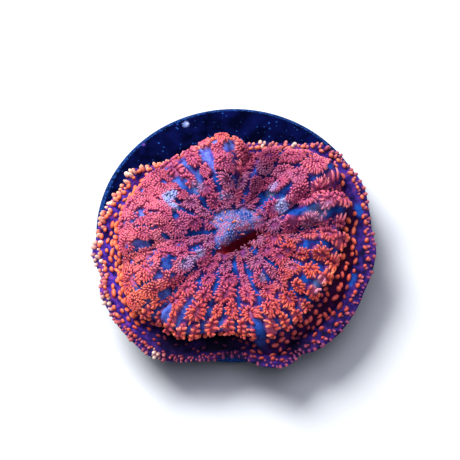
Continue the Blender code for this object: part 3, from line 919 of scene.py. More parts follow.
@dataclass(frozen=True)
class Template:
    """A small shape that is modelled once and copied: its vertices and faces."""

    points: Array
    faces: list[tuple[int, ...]]

    @classmethod
    def take(cls, piece: bpy.types.Object) -> Template:
        """Reads a modelled piece's mesh and removes the piece."""
        mesh = piece.data
        points = np.array([piece.matrix_world @ vert.co for vert in mesh.vertices])
        faces = [tuple(face.vertices) for face in mesh.polygons]
        bpy.data.objects.remove(piece, do_unlink=True)
        bpy.data.meshes.remove(mesh)
        return cls(points, faces)

    @property
    def heights(self) -> Array:
        """Height of each vertex, in one row."""
        return self.points[None, :, 2]

    @property
    def levels(self) -> Array:
        """Heights of a lobe's rings, from its root up."""
        return np.unique(np.round(self.points[:, 2], LEVEL_DIGITS))

    def bend(self, spine: Array, normal: Array, half_width: Array, half_depth: Array) -> Array:
        """Bends copies of a lobe along spines.

        Args:
            spine: Places along each spine, copy by level.
            normal: Direction of the lobe's depth at each of those places.
            half_width: Radius across the spine, one a copy.
            half_depth: Radius along the normal, one a copy.

        Returns:
            Vertex places, copy by vertex.
        """
        along = unit(np.gradient(spine, axis=1))
        side = unit(np.cross(normal, along))
        up = np.cross(along, side)
        level = np.searchsorted(self.levels, self.points[:, 2] - 10**-LEVEL_DIGITS)
        across = self.points[:, 0][None, :, None] * half_width[:, None, None]
        over = self.points[:, 1][None, :, None] * half_depth[:, None, None]
        return spine[:, level] + across * side[:, level] + over * up[:, level]


@dataclass(frozen=True)
class Lobe:
    """A lobe along +Z, from 0 at its root to 1 at its tip; its rings are heights and radii."""

    rings: tuple[tuple[float, float], ...]
    sides: int = 6

    def model(self) -> Template:
        """Models the lobe as by hand: a circle, extruded and scaled ring by ring, closed at its tip."""
        (base_height, base_radius), (top_height, _) = self.rings[0], self.rings[-1]
        begin_shape()
        bpy.ops.mesh.primitive_circle_add(vertices=self.sides, radius=base_radius, fill_type="NGON",
                                          location=(0, 0, base_height))
        start_edit()
        extrude_sections(self.rings)
        bpy.ops.mesh.extrude_region_move(TRANSFORM_OT_translate={"value": (0, 0, 1 - top_height)})
        bpy.ops.mesh.merge(type="CENTER")
        return Template.take(end_edit())


@dataclass
class Crowd:
    """Many copies of small shapes, gathered into one mesh with an attribute for each of their traits."""

    points: list[Array] = field(default_factory=list)
    faces: list[tuple[int, ...]] = field(default_factory=list)
    traits: dict[str, list[Array]] = field(default_factory=dict)
    count: int = 0

    def add(self, shape: Template, places: Array, traits: dict[str, Array]) -> None:
        """Adds copies of one shape.

        Args:
            shape: The shape.
            places: Vertex places in millimetres, copy by copy.
            traits: Values for each attribute, one a vertex, copy by copy.
        """
        copies, size, _ = places.shape
        self.points.append(places.reshape(-1, 3))
        for start in range(self.count, self.count + copies * size, size):
            self.faces += [tuple(start + index for index in face) for face in shape.faces]
        for name, values in traits.items():
            self.traits.setdefault(name, []).append(np.broadcast_to(values, (copies, size)).reshape(-1))
        self.count += copies * size

    def build(self) -> bpy.types.Object:
        """Makes the mesh object, smooth shaded, with its place in its mesh."""
        mesh = bpy.data.meshes.new("crowd")
        mesh.from_pydata(np.concatenate(self.points) * MM, [], self.faces)
        for name, values in self.traits.items():
            add_attribute(mesh, name, np.concatenate(values))
        piece = bpy.data.objects.new("crowd", mesh)
        bpy.context.scene.collection.objects.link(piece)
        begin_shape()
        piece.select_set(True)
        bpy.context.view_layer.objects.active = piece
        bpy.ops.object.shade_smooth()
        return piece


def add_attribute(mesh: bpy.types.Mesh, name: str, values: Array) -> None:
    """Gives a mesh one value for each vertex."""
    layer = mesh.attributes.new(name, "FLOAT", "POINT")
    layer.data.foreach_set("value", values.astype(np.float32))


def square_reach(way: float) -> float:
    """Reach of a rounded square of half side 1 in one direction."""
    return (abs(math.cos(way)) ** 3 + abs(math.sin(way)) ** 3) ** (-1 / 3)


def tones(count: int, rng: np.random.Generator, brightest: float = 1.25) -> Array:
    """A light or dark tone for each of some tentacles."""
    return rng.uniform(0.4, brightest, count)[:, None]


@dataclass(frozen=True)
class Stand:
    """How the tentacles of a tuft stand; the rises are above the open skin.

    Attributes:
        rim: Tentacles round the tuft, give or take a tenth.
        crests: Short tentacles on top of it, spread evenly.
        radius: A tentacle's radius.
        rises: Heights of its root, bend and tip.
        roots: Shares of the tuft's length and width that the roots spread over.
        sideways: How far the tentacles turn to the row's sides, from 0 to 1.
        shortest: Shortest tentacle, as a share of the tuft's half size.
        crest_length: Length of a crest tentacle, as a share of the tuft's half size.
        forked: Share of the tentacles that fork.
        grow: How much wider than its bed the tuft spreads.
    """

    rim: int
    crests: int
    radius: float
    rises: tuple[float, float, float]
    roots: tuple[float, float]
    sideways: float
    shortest: float
    crest_length: float = 0.32
    forked: float = 0.0
    grow: float = 1.0


class TuftStyle(Enum):
    """Named ways in which a tuft's tentacles stand."""

    DENSE = Stand(32, 24, 0.100, (0.44, 0.52, 0.20), (0.52, 0.36), 0.12, 0.66, 0.34, grow=1.05)
    OPEN = Stand(17, 17, 0.150, (0.38, 0.56, 0.22), (0.55, 0.20), 0.35, 0.66, 0.34, 0.25)
    LOOSE = Stand(8, 3, 0.215, (0.32, 0.66, 0.30), (0.85, 0.10), 0.50, 0.80, grow=1.1)
    FLESHY = Stand(26, 56, 0.145, (0.42, 0.50, 0.26), (0.80, 0.74), 0.0, 0.80, 0.24, grow=1.2)
    PADDED = Stand(26, 48, 0.140, (0.46, 0.60, 0.16), (0.70, 0.60), 0.0, 0.80, 0.26, grow=1.0)


# A tentacle's row holds its root, bend and tip, each as arc, angle and rise, and its radius and tint
TIP_ARC, TIP_ANGLE, RADIUS, TINT = 6, 7, 9, 10


@dataclass
class TentacleTufts:
    """The crown's tentacles, bent copies of one lobe, in tufts along the rows."""

    form: PolypForm
    tufts: list[Tuft]
    finish: TentacleFinish
    lobe: Lobe = Lobe(rings=((0.0, 0.80), (0.30, 1.0), (0.60, 0.92), (0.82, 0.64), (0.95, 0.32)))
    seed: int = 21
    # Pieces, each with its first and last arc
    bands: tuple[tuple[str, float, float], ...] = (
        ("tufts_round_mouth", 0.0, 8.6), ("tufts_inner_crown", 8.6, 11.4), ("tufts_outer_crown", 11.4, 99.0))
    inner_arc: float = 9.6
    open_arc: float = 12.4
    overhang: float = 0.12
    # Last arc of a tip, and how much earlier the tufts end at the upper right
    last_arc: float = 15.4
    early_end: float = 1.5
    # Middle and half width in degrees, first arc: where the tufts are swollen, and into what
    swollen_zones: tuple[tuple[float, float, float, TuftStyle], ...] = (
        (178, 42, 7.5, TuftStyle.FLESHY), (53, 22, 7.5, TuftStyle.PADDED), (100, 16, 9.0, TuftStyle.PADDED))

    def style(self, tuft: Tuft, rng: np.random.Generator) -> TuftStyle:
        """Chooses a tuft's style by its place."""
        place = tuft.arc + rng.uniform(-0.7, 0.7)
        for middle, half, first, style in self.swollen_zones:
            if abs(math.degrees(turn_between(tuft.angle, middle))) < half and place > first:
                return style
        if place < self.inner_arc:
            return TuftStyle.DENSE
        return TuftStyle.OPEN if place < self.open_arc else TuftStyle.LOOSE

    def tentacles(self, tuft: Tuft, rng: np.random.Generator) -> list[tuple[float, ...]]:
        """Lays out one tuft.

        Args:
            tuft: The tuft.
            rng: Source of the small differences.

        Returns:
            A row for each tentacle.
        """
        stand = self.style(tuft, rng).value
        count = round(stand.rim * rng.uniform(0.9, 1.1))
        long_half = stand.grow * tuft.half_length + 0.4 * self.overhang
        wide_half = stand.grow * tuft.half_width + self.overhang
        root_rise, bend_rise, tip_rise = stand.rises
        tint = rng.uniform()
        found: list[tuple[float, ...]] = []

        def lay(way: float, start: tuple[float, float], reach: float, lift: float, radius: float) -> None:
            """Adds a tentacle that runs out in one direction, from one share of the tuft to another."""
            way = way - 0.5 * stand.sideways * math.sin(2 * way)
            cos, sin = math.cos(way), math.sin(way)
            reach = reach * square_reach(way)
            tip = (reach * long_half * sin, reach * wide_half * cos)
            root = (start[0] * long_half * sin, start[1] * wide_half * cos)
            bow = rng.uniform(-0.10, 0.10)
            bend = (0.5 * (root[0] + tip[0]) + bow * cos, 0.5 * (root[1] + tip[1]) - bow * sin)
            row: list[float] = []
            for (out, aside), rise in ((root, root_rise), (bend, bend_rise + lift), (tip, tip_rise + lift)):
                row += (tuft.arc + out, tuft.angle + aside / tuft.reach, rise)
            found.append((*row, radius, tint))

        first = rng.uniform(0, TAU)
        for k in range(count):
            way = first + (k + rng.uniform(-0.35, 0.35)) / count * TAU
            reach, lift = rng.uniform(stand.shortest, 1.12), rng.uniform(-0.05, 0.09)
            radius = stand.radius * rng.uniform(0.85, 1.15)
            lay(way, stand.roots, reach, lift, radius)
            if rng.uniform() < stand.forked:
                turn = math.copysign(rng.uniform(0.25, 0.45), rng.uniform(-1, 1))
                lay(way + turn, stand.roots, 0.85 * reach, lift + 0.05, 0.85 * radius)
        for k in range(stand.crests):
            start = 0.85 * math.sqrt((k + 0.5) / stand.crests)
            way = first + GOLDEN_TURN * k
            root = start * square_reach(way)
            length = stand.crest_length * rng.uniform(0.8, 1.3)
            lift, radius = rng.uniform(0.18, 0.32), stand.radius * rng.uniform(0.85, 1.1)
            lay(way, (root, root), start + length, lift, radius)
        return found

    def build(self) -> None:
        """Builds the tufts as pieces, from the mouth outwards."""
        rng = np.random.default_rng(self.seed)
        lobe = self.lobe.model()
        material = self.finish.material()
        for name, low, high in self.bands:
            rows = np.array([tentacle for tuft in self.tufts if low <= tuft.arc < high
                             for tentacle in self.tentacles(tuft, rng)])
            rows = rows[self.room(rows[:, TIP_ARC], rows[:, TIP_ANGLE])]
            crowd = Crowd()
            crowd.add(lobe, self.shape(lobe, rows), self.traits(lobe, rows, rng))
            dress(crowd.build(), name, material, POLYP_NODE)

    def room(self, arc: Array, angle: Array) -> Array:
        """Where a tip has room: on the crown, off the mouth and off open skin."""
        tips = self.form.skin(arc, angle) - (*self.form.mouth, 0)
        taken = np.maximum(patch_weight(self.form, PatchKind.BARE, arc, angle),
                           self.form.mouth_mass(tips[:, 0], tips[:, 1]))
        ends = self.last_arc - self.early_end * near_angle(angle, *UPPER_RIGHT_DEG)
        return (taken < OPEN_SHARE) & (arc < ends)

    def shape(self, lobe: Template, rows: Array) -> Array:
        """Bends a lobe for each row."""
        controls = rows[:, :9].reshape(-1, 3, 3)
        levels = lobe.levels
        weights = np.stack(((1 - levels) ** 2, 2 * levels * (1 - levels), levels**2), 1)
        path = np.einsum("lk,fkc->flc", weights, controls)
        arc = np.clip(path[..., 0], 0.2, self.form.margin_arc)
        normal = self.form.normal(arc, path[..., 1])
        spine = self.form.skin(arc, path[..., 1]) + path[..., 2:3] * normal
        return lobe.bend(spine, normal, rows[:, RADIUS], 0.9 * rows[:, RADIUS])

    def traits(self, lobe: Template, rows: Array, rng: np.random.Generator) -> dict[str, Array]:
        """Works out the colour attributes of the tentacles."""
        arc, angle = rows[:, TIP_ARC], rows[:, TIP_ANGLE]
        fold = self.form.fold(arc, angle)
        # Painted light: the lit places and the ridges of the folds are brighter
        painted_light = np.clip(crown_painted_light(arc, angle) + 0.25 * np.clip(fold, 0, 1), 0, 1)
        warmth = smooth_step(6.5, 13.0, arc) * (0.12 + 0.7 * smooth_step(-0.2, 0.8, -np.sin(angle)))
        warmth = warmth + strongest(WARM_CROWN, arc, angle) + 0.08 + rng.uniform(-0.15, 0.15, len(rows))
        mauve = 0.13 * smooth_step(0.4, 1.0, rows[:, TINT]) * smooth_step(11.5, 9.0, arc)
        pale = np.maximum(patch_weight(self.form, PatchKind.PALE, arc, angle), mauve)
        return {"along": (0.15 + 0.85 * lobe.heights) * (0.62 + 0.38 * painted_light[:, None]),
                "warmth": np.clip(warmth, 0, 1)[:, None], "dusk": painted_shade_share(fold, arc, angle)[:, None],
                "tone": tones(len(rows), rng), "pale": pale[:, None]}


@dataclass(frozen=True)
class KnobRing:
    """A ring of knobs: arc length from the mouth, spacing along it, and a knob's half sizes and height."""

    arc: float
    spacing: float
    half_length: float
    half_width: float
    height: float


@dataclass
class BrimKnobs:
    """The brim's knobs, plain rounded tentacles that lie along the brim."""

    form: PolypForm
    finish: TentacleFinish
    rings: tuple[KnobRing, ...] = (
        KnobRing(20.5, 1.22, 0.42, 0.30, 0.38), KnobRing(19.3, 1.24, 0.50, 0.30, 0.40),
        KnobRing(18.1, 1.26, 0.56, 0.30, 0.40), KnobRing(17.1, 1.15, 0.54, 0.30, 0.42),
        KnobRing(16.3, 1.05, 0.50, 0.31, 0.42), KnobRing(15.5, 1.00, 0.48, 0.32, 0.42),
        KnobRing(14.8, 1.05, 0.46, 0.32, 0.42), KnobRing(14.2, 1.15, 0.44, 0.31, 0.40),
        KnobRing(13.7, 1.30, 0.46, 0.32, 0.40))
    # Least distance between two knobs, and how much more it is at the upper right
    nearest: float = 0.80
    opener: float = 0.85
    # Within this arc knobs stand only at the upper right
    crown_arc: float = 14.0
    # How far a knob's middle is raised, as a share of its height
    sit: float = 0.2
    # Most that a knob stands off its even place, in spacings and in millimetres, and its size
    angle_slack: float = 0.24
    arc_slack: float = 0.3
    sizes: tuple[float, float] = (0.78, 1.15)
    seed: int = 33

    def knob(self) -> Template:
        """Models one knob as by hand: a low-poly ball, cut off below."""
        begin_shape()
        bpy.ops.mesh.primitive_uv_sphere_add(segments=8, ring_count=7, radius=1.0)
        start_edit()
        bpy.ops.mesh.bisect(plane_co=(0, 0, -0.55), plane_no=(0, 0, 1), use_fill=True, clear_inner=True)
        return Template.take(end_edit())

    def build(self) -> None:
        """Builds all the knobs as one piece."""
        rng = np.random.default_rng(self.seed)
        knob = self.knob()
        crowd = Crowd()
        taken = np.empty((0, 3))
        for place, ring in enumerate(self.rings):
            mean_reach = float(self.form.reach(np.array(ring.arc), np.linspace(0, TAU, 73)[:-1]).mean())
            count = round(TAU * mean_reach / ring.spacing)
            slack = rng.uniform(-self.angle_slack, self.angle_slack, count)
            angle = (np.arange(count) + 0.5 * (place % 2) + slack) * TAU / count
            arc = ring.arc + rng.uniform(-self.arc_slack, self.arc_slack, count)
            size = rng.uniform(*self.sizes, count) * (1 - 0.35 * painted_shadow_share(arc, angle))
            wall_painted_shade = wall_painted_shade_share(arc, angle)
            turn = rng.normal(0, 0.3 + 0.7 * wall_painted_shade)
            stretch = rng.uniform(0.8, 1.2 + 0.2 * wall_painted_shade)
            base = self.form.skin(arc, angle)
            away = np.linalg.norm(base[:, None] - taken[None], axis=-1).min(1, initial=9.0)
            apart = self.nearest * (1 - 0.3 * wall_painted_shade) + self.opener * near_angle(angle, 38, 50)
            keep = (away > apart) & (patch_weight(self.form, PatchKind.BARE, arc, angle) < OPEN_SHARE)
            keep &= (arc > self.crown_arc) | (near_angle(angle, *UPPER_RIGHT_DEG) > 0.45)
            taken = np.concatenate((taken, base[keep]))
            arc, angle, size, turn, stretch = (values[keep] for values in (arc, angle, size, turn, stretch))
            lengths = np.broadcast_arrays(ring.half_length * stretch, ring.half_width, ring.height)
            half_sizes = size[:, None] * np.stack(lengths, 1)
            places = self.place(knob, arc, angle, turn, half_sizes)
            crowd.add(knob, places, self.traits(knob, arc, angle, rng))
        dress(crowd.build(), "brim_knobs", self.finish.material(), POLYP_NODE)

    def place(self, knob: Template, arc: Array, angle: Array, turn: Array, half_sizes: Array) -> Array:
        """Sets copies of the knob on the skin, turned in its plane.

        Args:
            knob: The knob.
            arc: Arc lengths from the mouth.
            angle: Angles in radians.
            turn: Turns in the plane of the skin.
            half_sizes: Half length, half width and height of each copy.

        Returns:
            Vertex places, copy by vertex.
        """
        normal = self.form.normal(arc, angle)
        around = unit(self.form.skin(arc, angle + 0.01) - self.form.skin(arc, angle - 0.01))
        outward = np.cross(around, normal)
        cos, sin = np.cos(turn)[:, None], np.sin(turn)[:, None]
        axes = np.stack((cos * around + sin * outward, sin * around - cos * outward, normal), 1)
        raised = knob.points + (0, 0, self.sit)
        return self.form.skin(arc, angle)[:, None] + raised @ (axes * half_sizes[..., None])

    def traits(self, knob: Template, arc: Array, angle: Array, rng: np.random.Generator) -> dict[str, Array]:
        """Works out the colour attributes of the knobs."""
        pale = 0.8 * patch_weight(self.form, PatchKind.PALE, arc, angle)
        warmth = np.clip(0.7 + 0.3 * np.maximum(0, -np.cos(angle)) + rng.uniform(-0.2, 0.2, len(arc)), 0, 1)
        # Painted shade: the knobs are darker in the hollows' painted shadow and at the front right
        painted_light = (1 - 0.9 * painted_shadow_share(arc, angle)) * (0.9 - 0.5 * near_angle(angle, 302, 55))
        return {"along": (0.42 + 0.5 * knob.heights) * painted_light[:, None], "warmth": warmth[:, None],
                "tone": tones(len(arc), rng), "pale": pale[:, None]}


@dataclass
class RimFringe:
    """The fringe of short blunt tentacles along the margin, close together and of uneven size."""

    form: PolypForm
    finish: TentacleFinish
    lobe: Lobe = Lobe(rings=((0.0, 0.86), (0.3, 1.0), (0.6, 0.97), (0.85, 0.68), (0.96, 0.34)))
    # Radius of a tentacle, and spacing in radii, at evenly spaced angles from +X towards +Y
    sizes: tuple[float, ...] = (0.27, 0.26, 0.28, 0.30, 0.31, 0.33, 0.34, 0.30, 0.25, 0.22, 0.24, 0.26)
    spacings: tuple[float, ...] = (3.8, 3.4, 3.1, 2.7, 2.6, 2.5, 2.4, 2.3, 2.7, 3.4, 3.4, 3.8)
    # Angle and half width in degrees of the places where the tips are pale, partly bleached and partly
    # painted highlight
    bleached_and_painted_highlights: tuple[tuple[float, float], ...] = (
        (75, 2.5), (60, 1.2), (146, 3), (163, 2), (181, 4), (190, 4), (208, 3), (237, 2))
    # Rows: how far it stands back from the margin, how much further at most, and how far it leans up
    rows: tuple[tuple[float, float, float], ...] = ((0.0, 0.2, 0.15), (0.5, 0.6, 0.9))
    seed: int = 45

    def stations(self, rng: np.random.Generator) -> tuple[Array, Array]:
        """Walks round the margin.

        Args:
            rng: Source of the small differences.

        Returns:
            The angle and the radius of each tentacle.
        """
        margin = np.array(self.form.margin_arc)
        angles, sizes = [], []
        angle = 0.0
        while angle < TAU:
            size = float(closed_curve(self.sizes, np.array(angle))) * rng.uniform(0.62, 1.25)
            angles.append(angle)
            sizes.append(size)
            reach = float(self.form.reach(margin, np.array(angle)))
            spacing = float(closed_curve(self.spacings, np.array(angle)))
            angle += spacing * size / reach * rng.uniform(0.65, 1.35)
        return np.array(angles), np.array(sizes)

    def build(self) -> None:
        """Builds the fringe as one piece."""
        rng = np.random.default_rng(self.seed)
        lobe = self.lobe.model()
        steps = lobe.levels[None, :, None]
        crowd = Crowd()
        for back, depth, rise in self.rows:
            angle, radius = self.stations(rng)
            arc = self.form.margin_arc - back - rng.uniform(0, depth, len(angle))
            base = self.form.skin(arc, angle)
            normal = self.form.normal(arc, angle)
            outward = unit(base - self.form.skin(arc - 0.3, angle))
            around = np.cross(normal, outward)
            lean = rise + rng.uniform(-0.15, 0.3, len(angle))
            slant = rng.uniform(-0.35, 0.35, len(angle))
            length = radius * rng.uniform(1.0, 2.0, len(angle))
            start = base - 0.3 * outward - 0.1 * normal
            spine = (start[:, None] + steps * (length + 0.2)[:, None, None] * outward[:, None]
                     + steps * (slant * length)[:, None, None] * around[:, None]
                     + steps**2 * (lean * length)[:, None, None] * normal[:, None])
            normals = np.repeat(normal[:, None], len(lobe.levels), 1)
            crowd.add(lobe, lobe.bend(spine, normals, radius, 0.85 * radius), self.traits(lobe, angle, rng))
        dress(crowd.build(), "rim_fringe", self.finish.material(), POLYP_NODE)

    def traits(self, lobe: Template, angle: Array, rng: np.random.Generator) -> dict[str, Array]:
        """Works out the colour attributes of the fringe."""
        pale = np.maximum.reduce([near_angle(angle, *place) for place in self.bleached_and_painted_highlights])
        # Painted light and shade: brighter at the back and on the left, where the light falls, darker in the
        # front hollows
        bright = smooth_step(0.9, -0.5, -np.sin(angle)) * (0.62 - 0.38 * np.cos(angle))
        warmth = 0.25 + 0.7 * bright + 0.4 * near_angle(angle, 246, 25)
        warmth = np.clip(warmth + rng.uniform(-0.2, 0.2, len(angle)), 0, 1)
        dark = np.maximum(0.95 * near_angle(angle, 268, 13), 0.4 * near_angle(angle, 246, 16))
        painted_light = ((0.45 + 0.55 * bright) * (1 - dark))[:, None]
        tips = np.clip(lobe.heights * 1.4 - 0.1, 0, 1)
        return {"along": np.clip(0.1 + lobe.heights, 0, 1) * painted_light, "warmth": warmth[:, None],
                "tone": tones(len(angle), rng), "pale": pale[:, None] * tips}


@dataclass(frozen=True)
class Bristle:
    """How a kind of small tentacle looks.

    Attributes:
        radius: Its radius.
        lengths: Least and most length, in radii.
        rise: Height of its root above the open skin.
        upright: How far it stands up rather than leans.
        bright: Brightness.
        warmth: Share of orange.
        pale: Least and most share bleached.
    """

    radius: float
    lengths: tuple[float, float]
    rise: float
    upright: float
    bright: float
    warmth: float
    pale: tuple[float, float]


class BristleKind(Enum):
    """Named kinds of small tentacle."""

    DOME = Bristle(0.095, (1.0, 1.6), -0.04, 2.0, 0.8, 0.0, (0.0, 0.45))
    DASH = Bristle(0.12, (3.5, 5.5), 0.02, 0.15, 1.0, 1.0, (0.0, 0.15))
    LIP = Bristle(0.12, (2.2, 3.6), -0.04, 0.6, 0.55, 1.0, (0.0, 0.0))
    BLEACHED = Bristle(0.13, (1.4, 2.4), 0.30, 1.3, 1.0, 0.0, (0.5, 1.0))


@dataclass
class MouthPapillae:
    """Small tentacles on the mouth's lumps, pale blue and lilac with a few orange ones, and on the lips.

    The same small tentacles cover the bleached patches of the crown.
    """

    form: PolypForm
    finish: TentacleFinish
    lobe: Lobe = Lobe(rings=((0.0, 0.9), (0.4, 1.0), (0.8, 0.7)))
    lump_density: float = 9.0
    patch_density: float = 13.0
    lip_count: int = 90
    spread: float = 0.95
    scatter: float = 0.05
    # Share of a lump or the gape past which the other's small tentacles end
    border_share: float = 0.3
    # Patches at least this strong carry domes
    domed_strength: float = 0.7
    # Orange tentacles that lie on the lumps: place from the mouth's middle, and direction in degrees
    dashes: tuple[tuple[float, float, float], ...] = (
        (-0.3, 1.0, 45), (0.7, 1.1, 130), (-0.75, -0.3, 100), (-1.6, 1.3, 135), (-2.8, 1.1, 60),
        (0.9, -0.2, 20), (-1.3, 2.5, 80), (2.6, 1.9, 10), (3.1, -0.6, 330), (2.2, -2.6, 300))
    seed: int = 51

    def ground(self, x: Array, y: Array) -> tuple[Array, Array]:
        """Finds the arc and angle on the skin over places near the mouth's middle."""
        crown = self.form.crown_ring_reach[1] * float(self.form.profile(np.zeros(1))[0][0, 6])
        return np.hypot(x, y) / crown * self.form.ring_arcs[1], np.arctan2(y, x)

    def build(self) -> None:
        """Builds the small tentacles as one piece."""
        rng = np.random.default_rng(self.seed)
        lobe = self.lobe.model()
        crowd = Crowd()
        for kind, places, away in self.groups(rng):
            self.add(crowd, lobe, kind, places, away, rng)
        dress(crowd.build(), "mouth_papillae", self.finish.material(), POLYP_NODE)

    def groups(self, rng: np.random.Generator) -> Iterator[tuple[BristleKind, tuple[Array, Array], Array]]:
        """Lays the small tentacles out, group by group.

        Args:
            rng: Source of the small differences.

        Yields:
            The group's kind, the arcs and angles of its tentacles, and the way that each leans.
        """
        gape = self.form.mouth_gape
        for lump in self.form.mouth_lumps:
            along, across = spiral(round(self.lump_density * oval_area(lump)))
            x, y = self.oval(lump, self.spread * along, self.spread * across, rng)
            yield BristleKind.DOME, *self.kept(x, y, lump, (gape,))
        x, y, way = np.array(self.dashes, float).T
        yield BristleKind.DASH, self.ground(x, y), level_ways(np.radians(way))
        turn = rng.uniform(0, TAU, self.lip_count)
        ring = rng.uniform(1.05, 1.5, self.lip_count)
        x, y = self.oval(gape, ring * np.cos(turn), ring * np.sin(turn), rng)
        yield BristleKind.LIP, *self.kept(x, y, gape, self.form.mouth_lumps)
        for patch in PATCHES:
            if patch.kind is PatchKind.PALE and patch.strength >= self.domed_strength:
                along, across = spiral(round(self.patch_density * oval_area(patch)))
                middle = math.radians(patch.angle_deg)
                reach = float(self.form.reach(np.array(patch.arc), np.array(middle)))
                arc = patch.arc + along * patch.half_length + rng.normal(0, self.scatter, len(along))
                angle = middle + across * patch.half_width / reach
                yield BristleKind.BLEACHED, (arc, angle), level_ways(angle)

    def kept(self, x: Array, y: Array, oval: Oval,
             others: tuple[Oval, ...]) -> tuple[tuple[Array, Array], Array]:
        """Keeps the places of an oval that lie off others.

        Args:
            x: Places from the mouth's middle.
            y: The same, the other way.
            oval: The oval that the places belong to.
            others: The ovals to keep off.

        Returns:
            The arcs and angles of those places, and the ways away from their oval's middle.
        """
        keep = np.max([other.bell(x, y) for other in others], 0) < self.border_share
        x, y = x[keep], y[keep]
        return self.ground(x, y), unit(np.stack((x - oval.off_x, y - oval.off_y, 0 * x), -1))

    def oval(self, oval: Oval, along: Array, across: Array, rng: np.random.Generator) -> tuple[Array, Array]:
        """Places in an oval's plan, from shares of its half sizes, a little scattered."""
        turn = math.radians(oval.turn_deg)
        out = along * oval.half_length + rng.normal(0, self.scatter, len(along))
        aside = across * oval.half_width + rng.normal(0, self.scatter, len(along))
        return (oval.off_x + out * math.cos(turn) - aside * math.sin(turn),
                oval.off_y + out * math.sin(turn) + aside * math.cos(turn))

    def add(self, crowd: Crowd, lobe: Template, kind: BristleKind, places: tuple[Array, Array], away: Array,
            rng: np.random.Generator) -> None:
        """Adds small tentacles that lean away from a middle.

        Args:
            crowd: What they are added to.
            lobe: The lobe that is copied.
            kind: What kind they are.
            places: The arc and the angle of each tentacle.
            away: The way that each leans.
            rng: Source of the small differences.
        """
        look = kind.value
        arc, angle = np.maximum(places[0], 0.25), places[1]
        normal = self.form.normal(arc, angle)
        size = look.radius * rng.uniform(0.75, 1.25, len(arc))
        lean = unit(look.upright * normal + away + rng.normal(0, 0.15, normal.shape))
        length = size * rng.uniform(*look.lengths, len(arc))
        root = self.form.skin(arc, angle) + look.rise * normal
        spine = root[:, None] + lobe.levels[None, :, None] * length[:, None, None] * lean[:, None]
        side = np.repeat(unit(np.cross(lean, (0.3, 1.0, 0.2)))[:, None], len(lobe.levels), 1)
        crowd.add(lobe, lobe.bend(spine, side, size, size), {
            "along": (0.3 + 0.7 * lobe.heights) * look.bright,
            "warmth": np.full((len(arc), 1), look.warmth),
            "tone": tones(len(arc), rng, 1.2),
            "pale": rng.uniform(*look.pale, (len(arc), 1))})


def oval_area(oval: Oval | Patch) -> float:
    """Area of an oval's plan."""
    return math.pi * oval.half_length * oval.half_width


def spiral(count: int) -> tuple[Array, Array]:
    """Spreads places evenly over a circle of radius 1."""
    index = np.arange(count)
    share = np.sqrt((index + 0.5) / count)
    return share * np.cos(index * GOLDEN_TURN), share * np.sin(index * GOLDEN_TURN)


def level_ways(angle: Array) -> Array:
    """Level directions at some angles."""
    return np.stack((np.cos(angle), np.sin(angle), 0 * angle), -1)


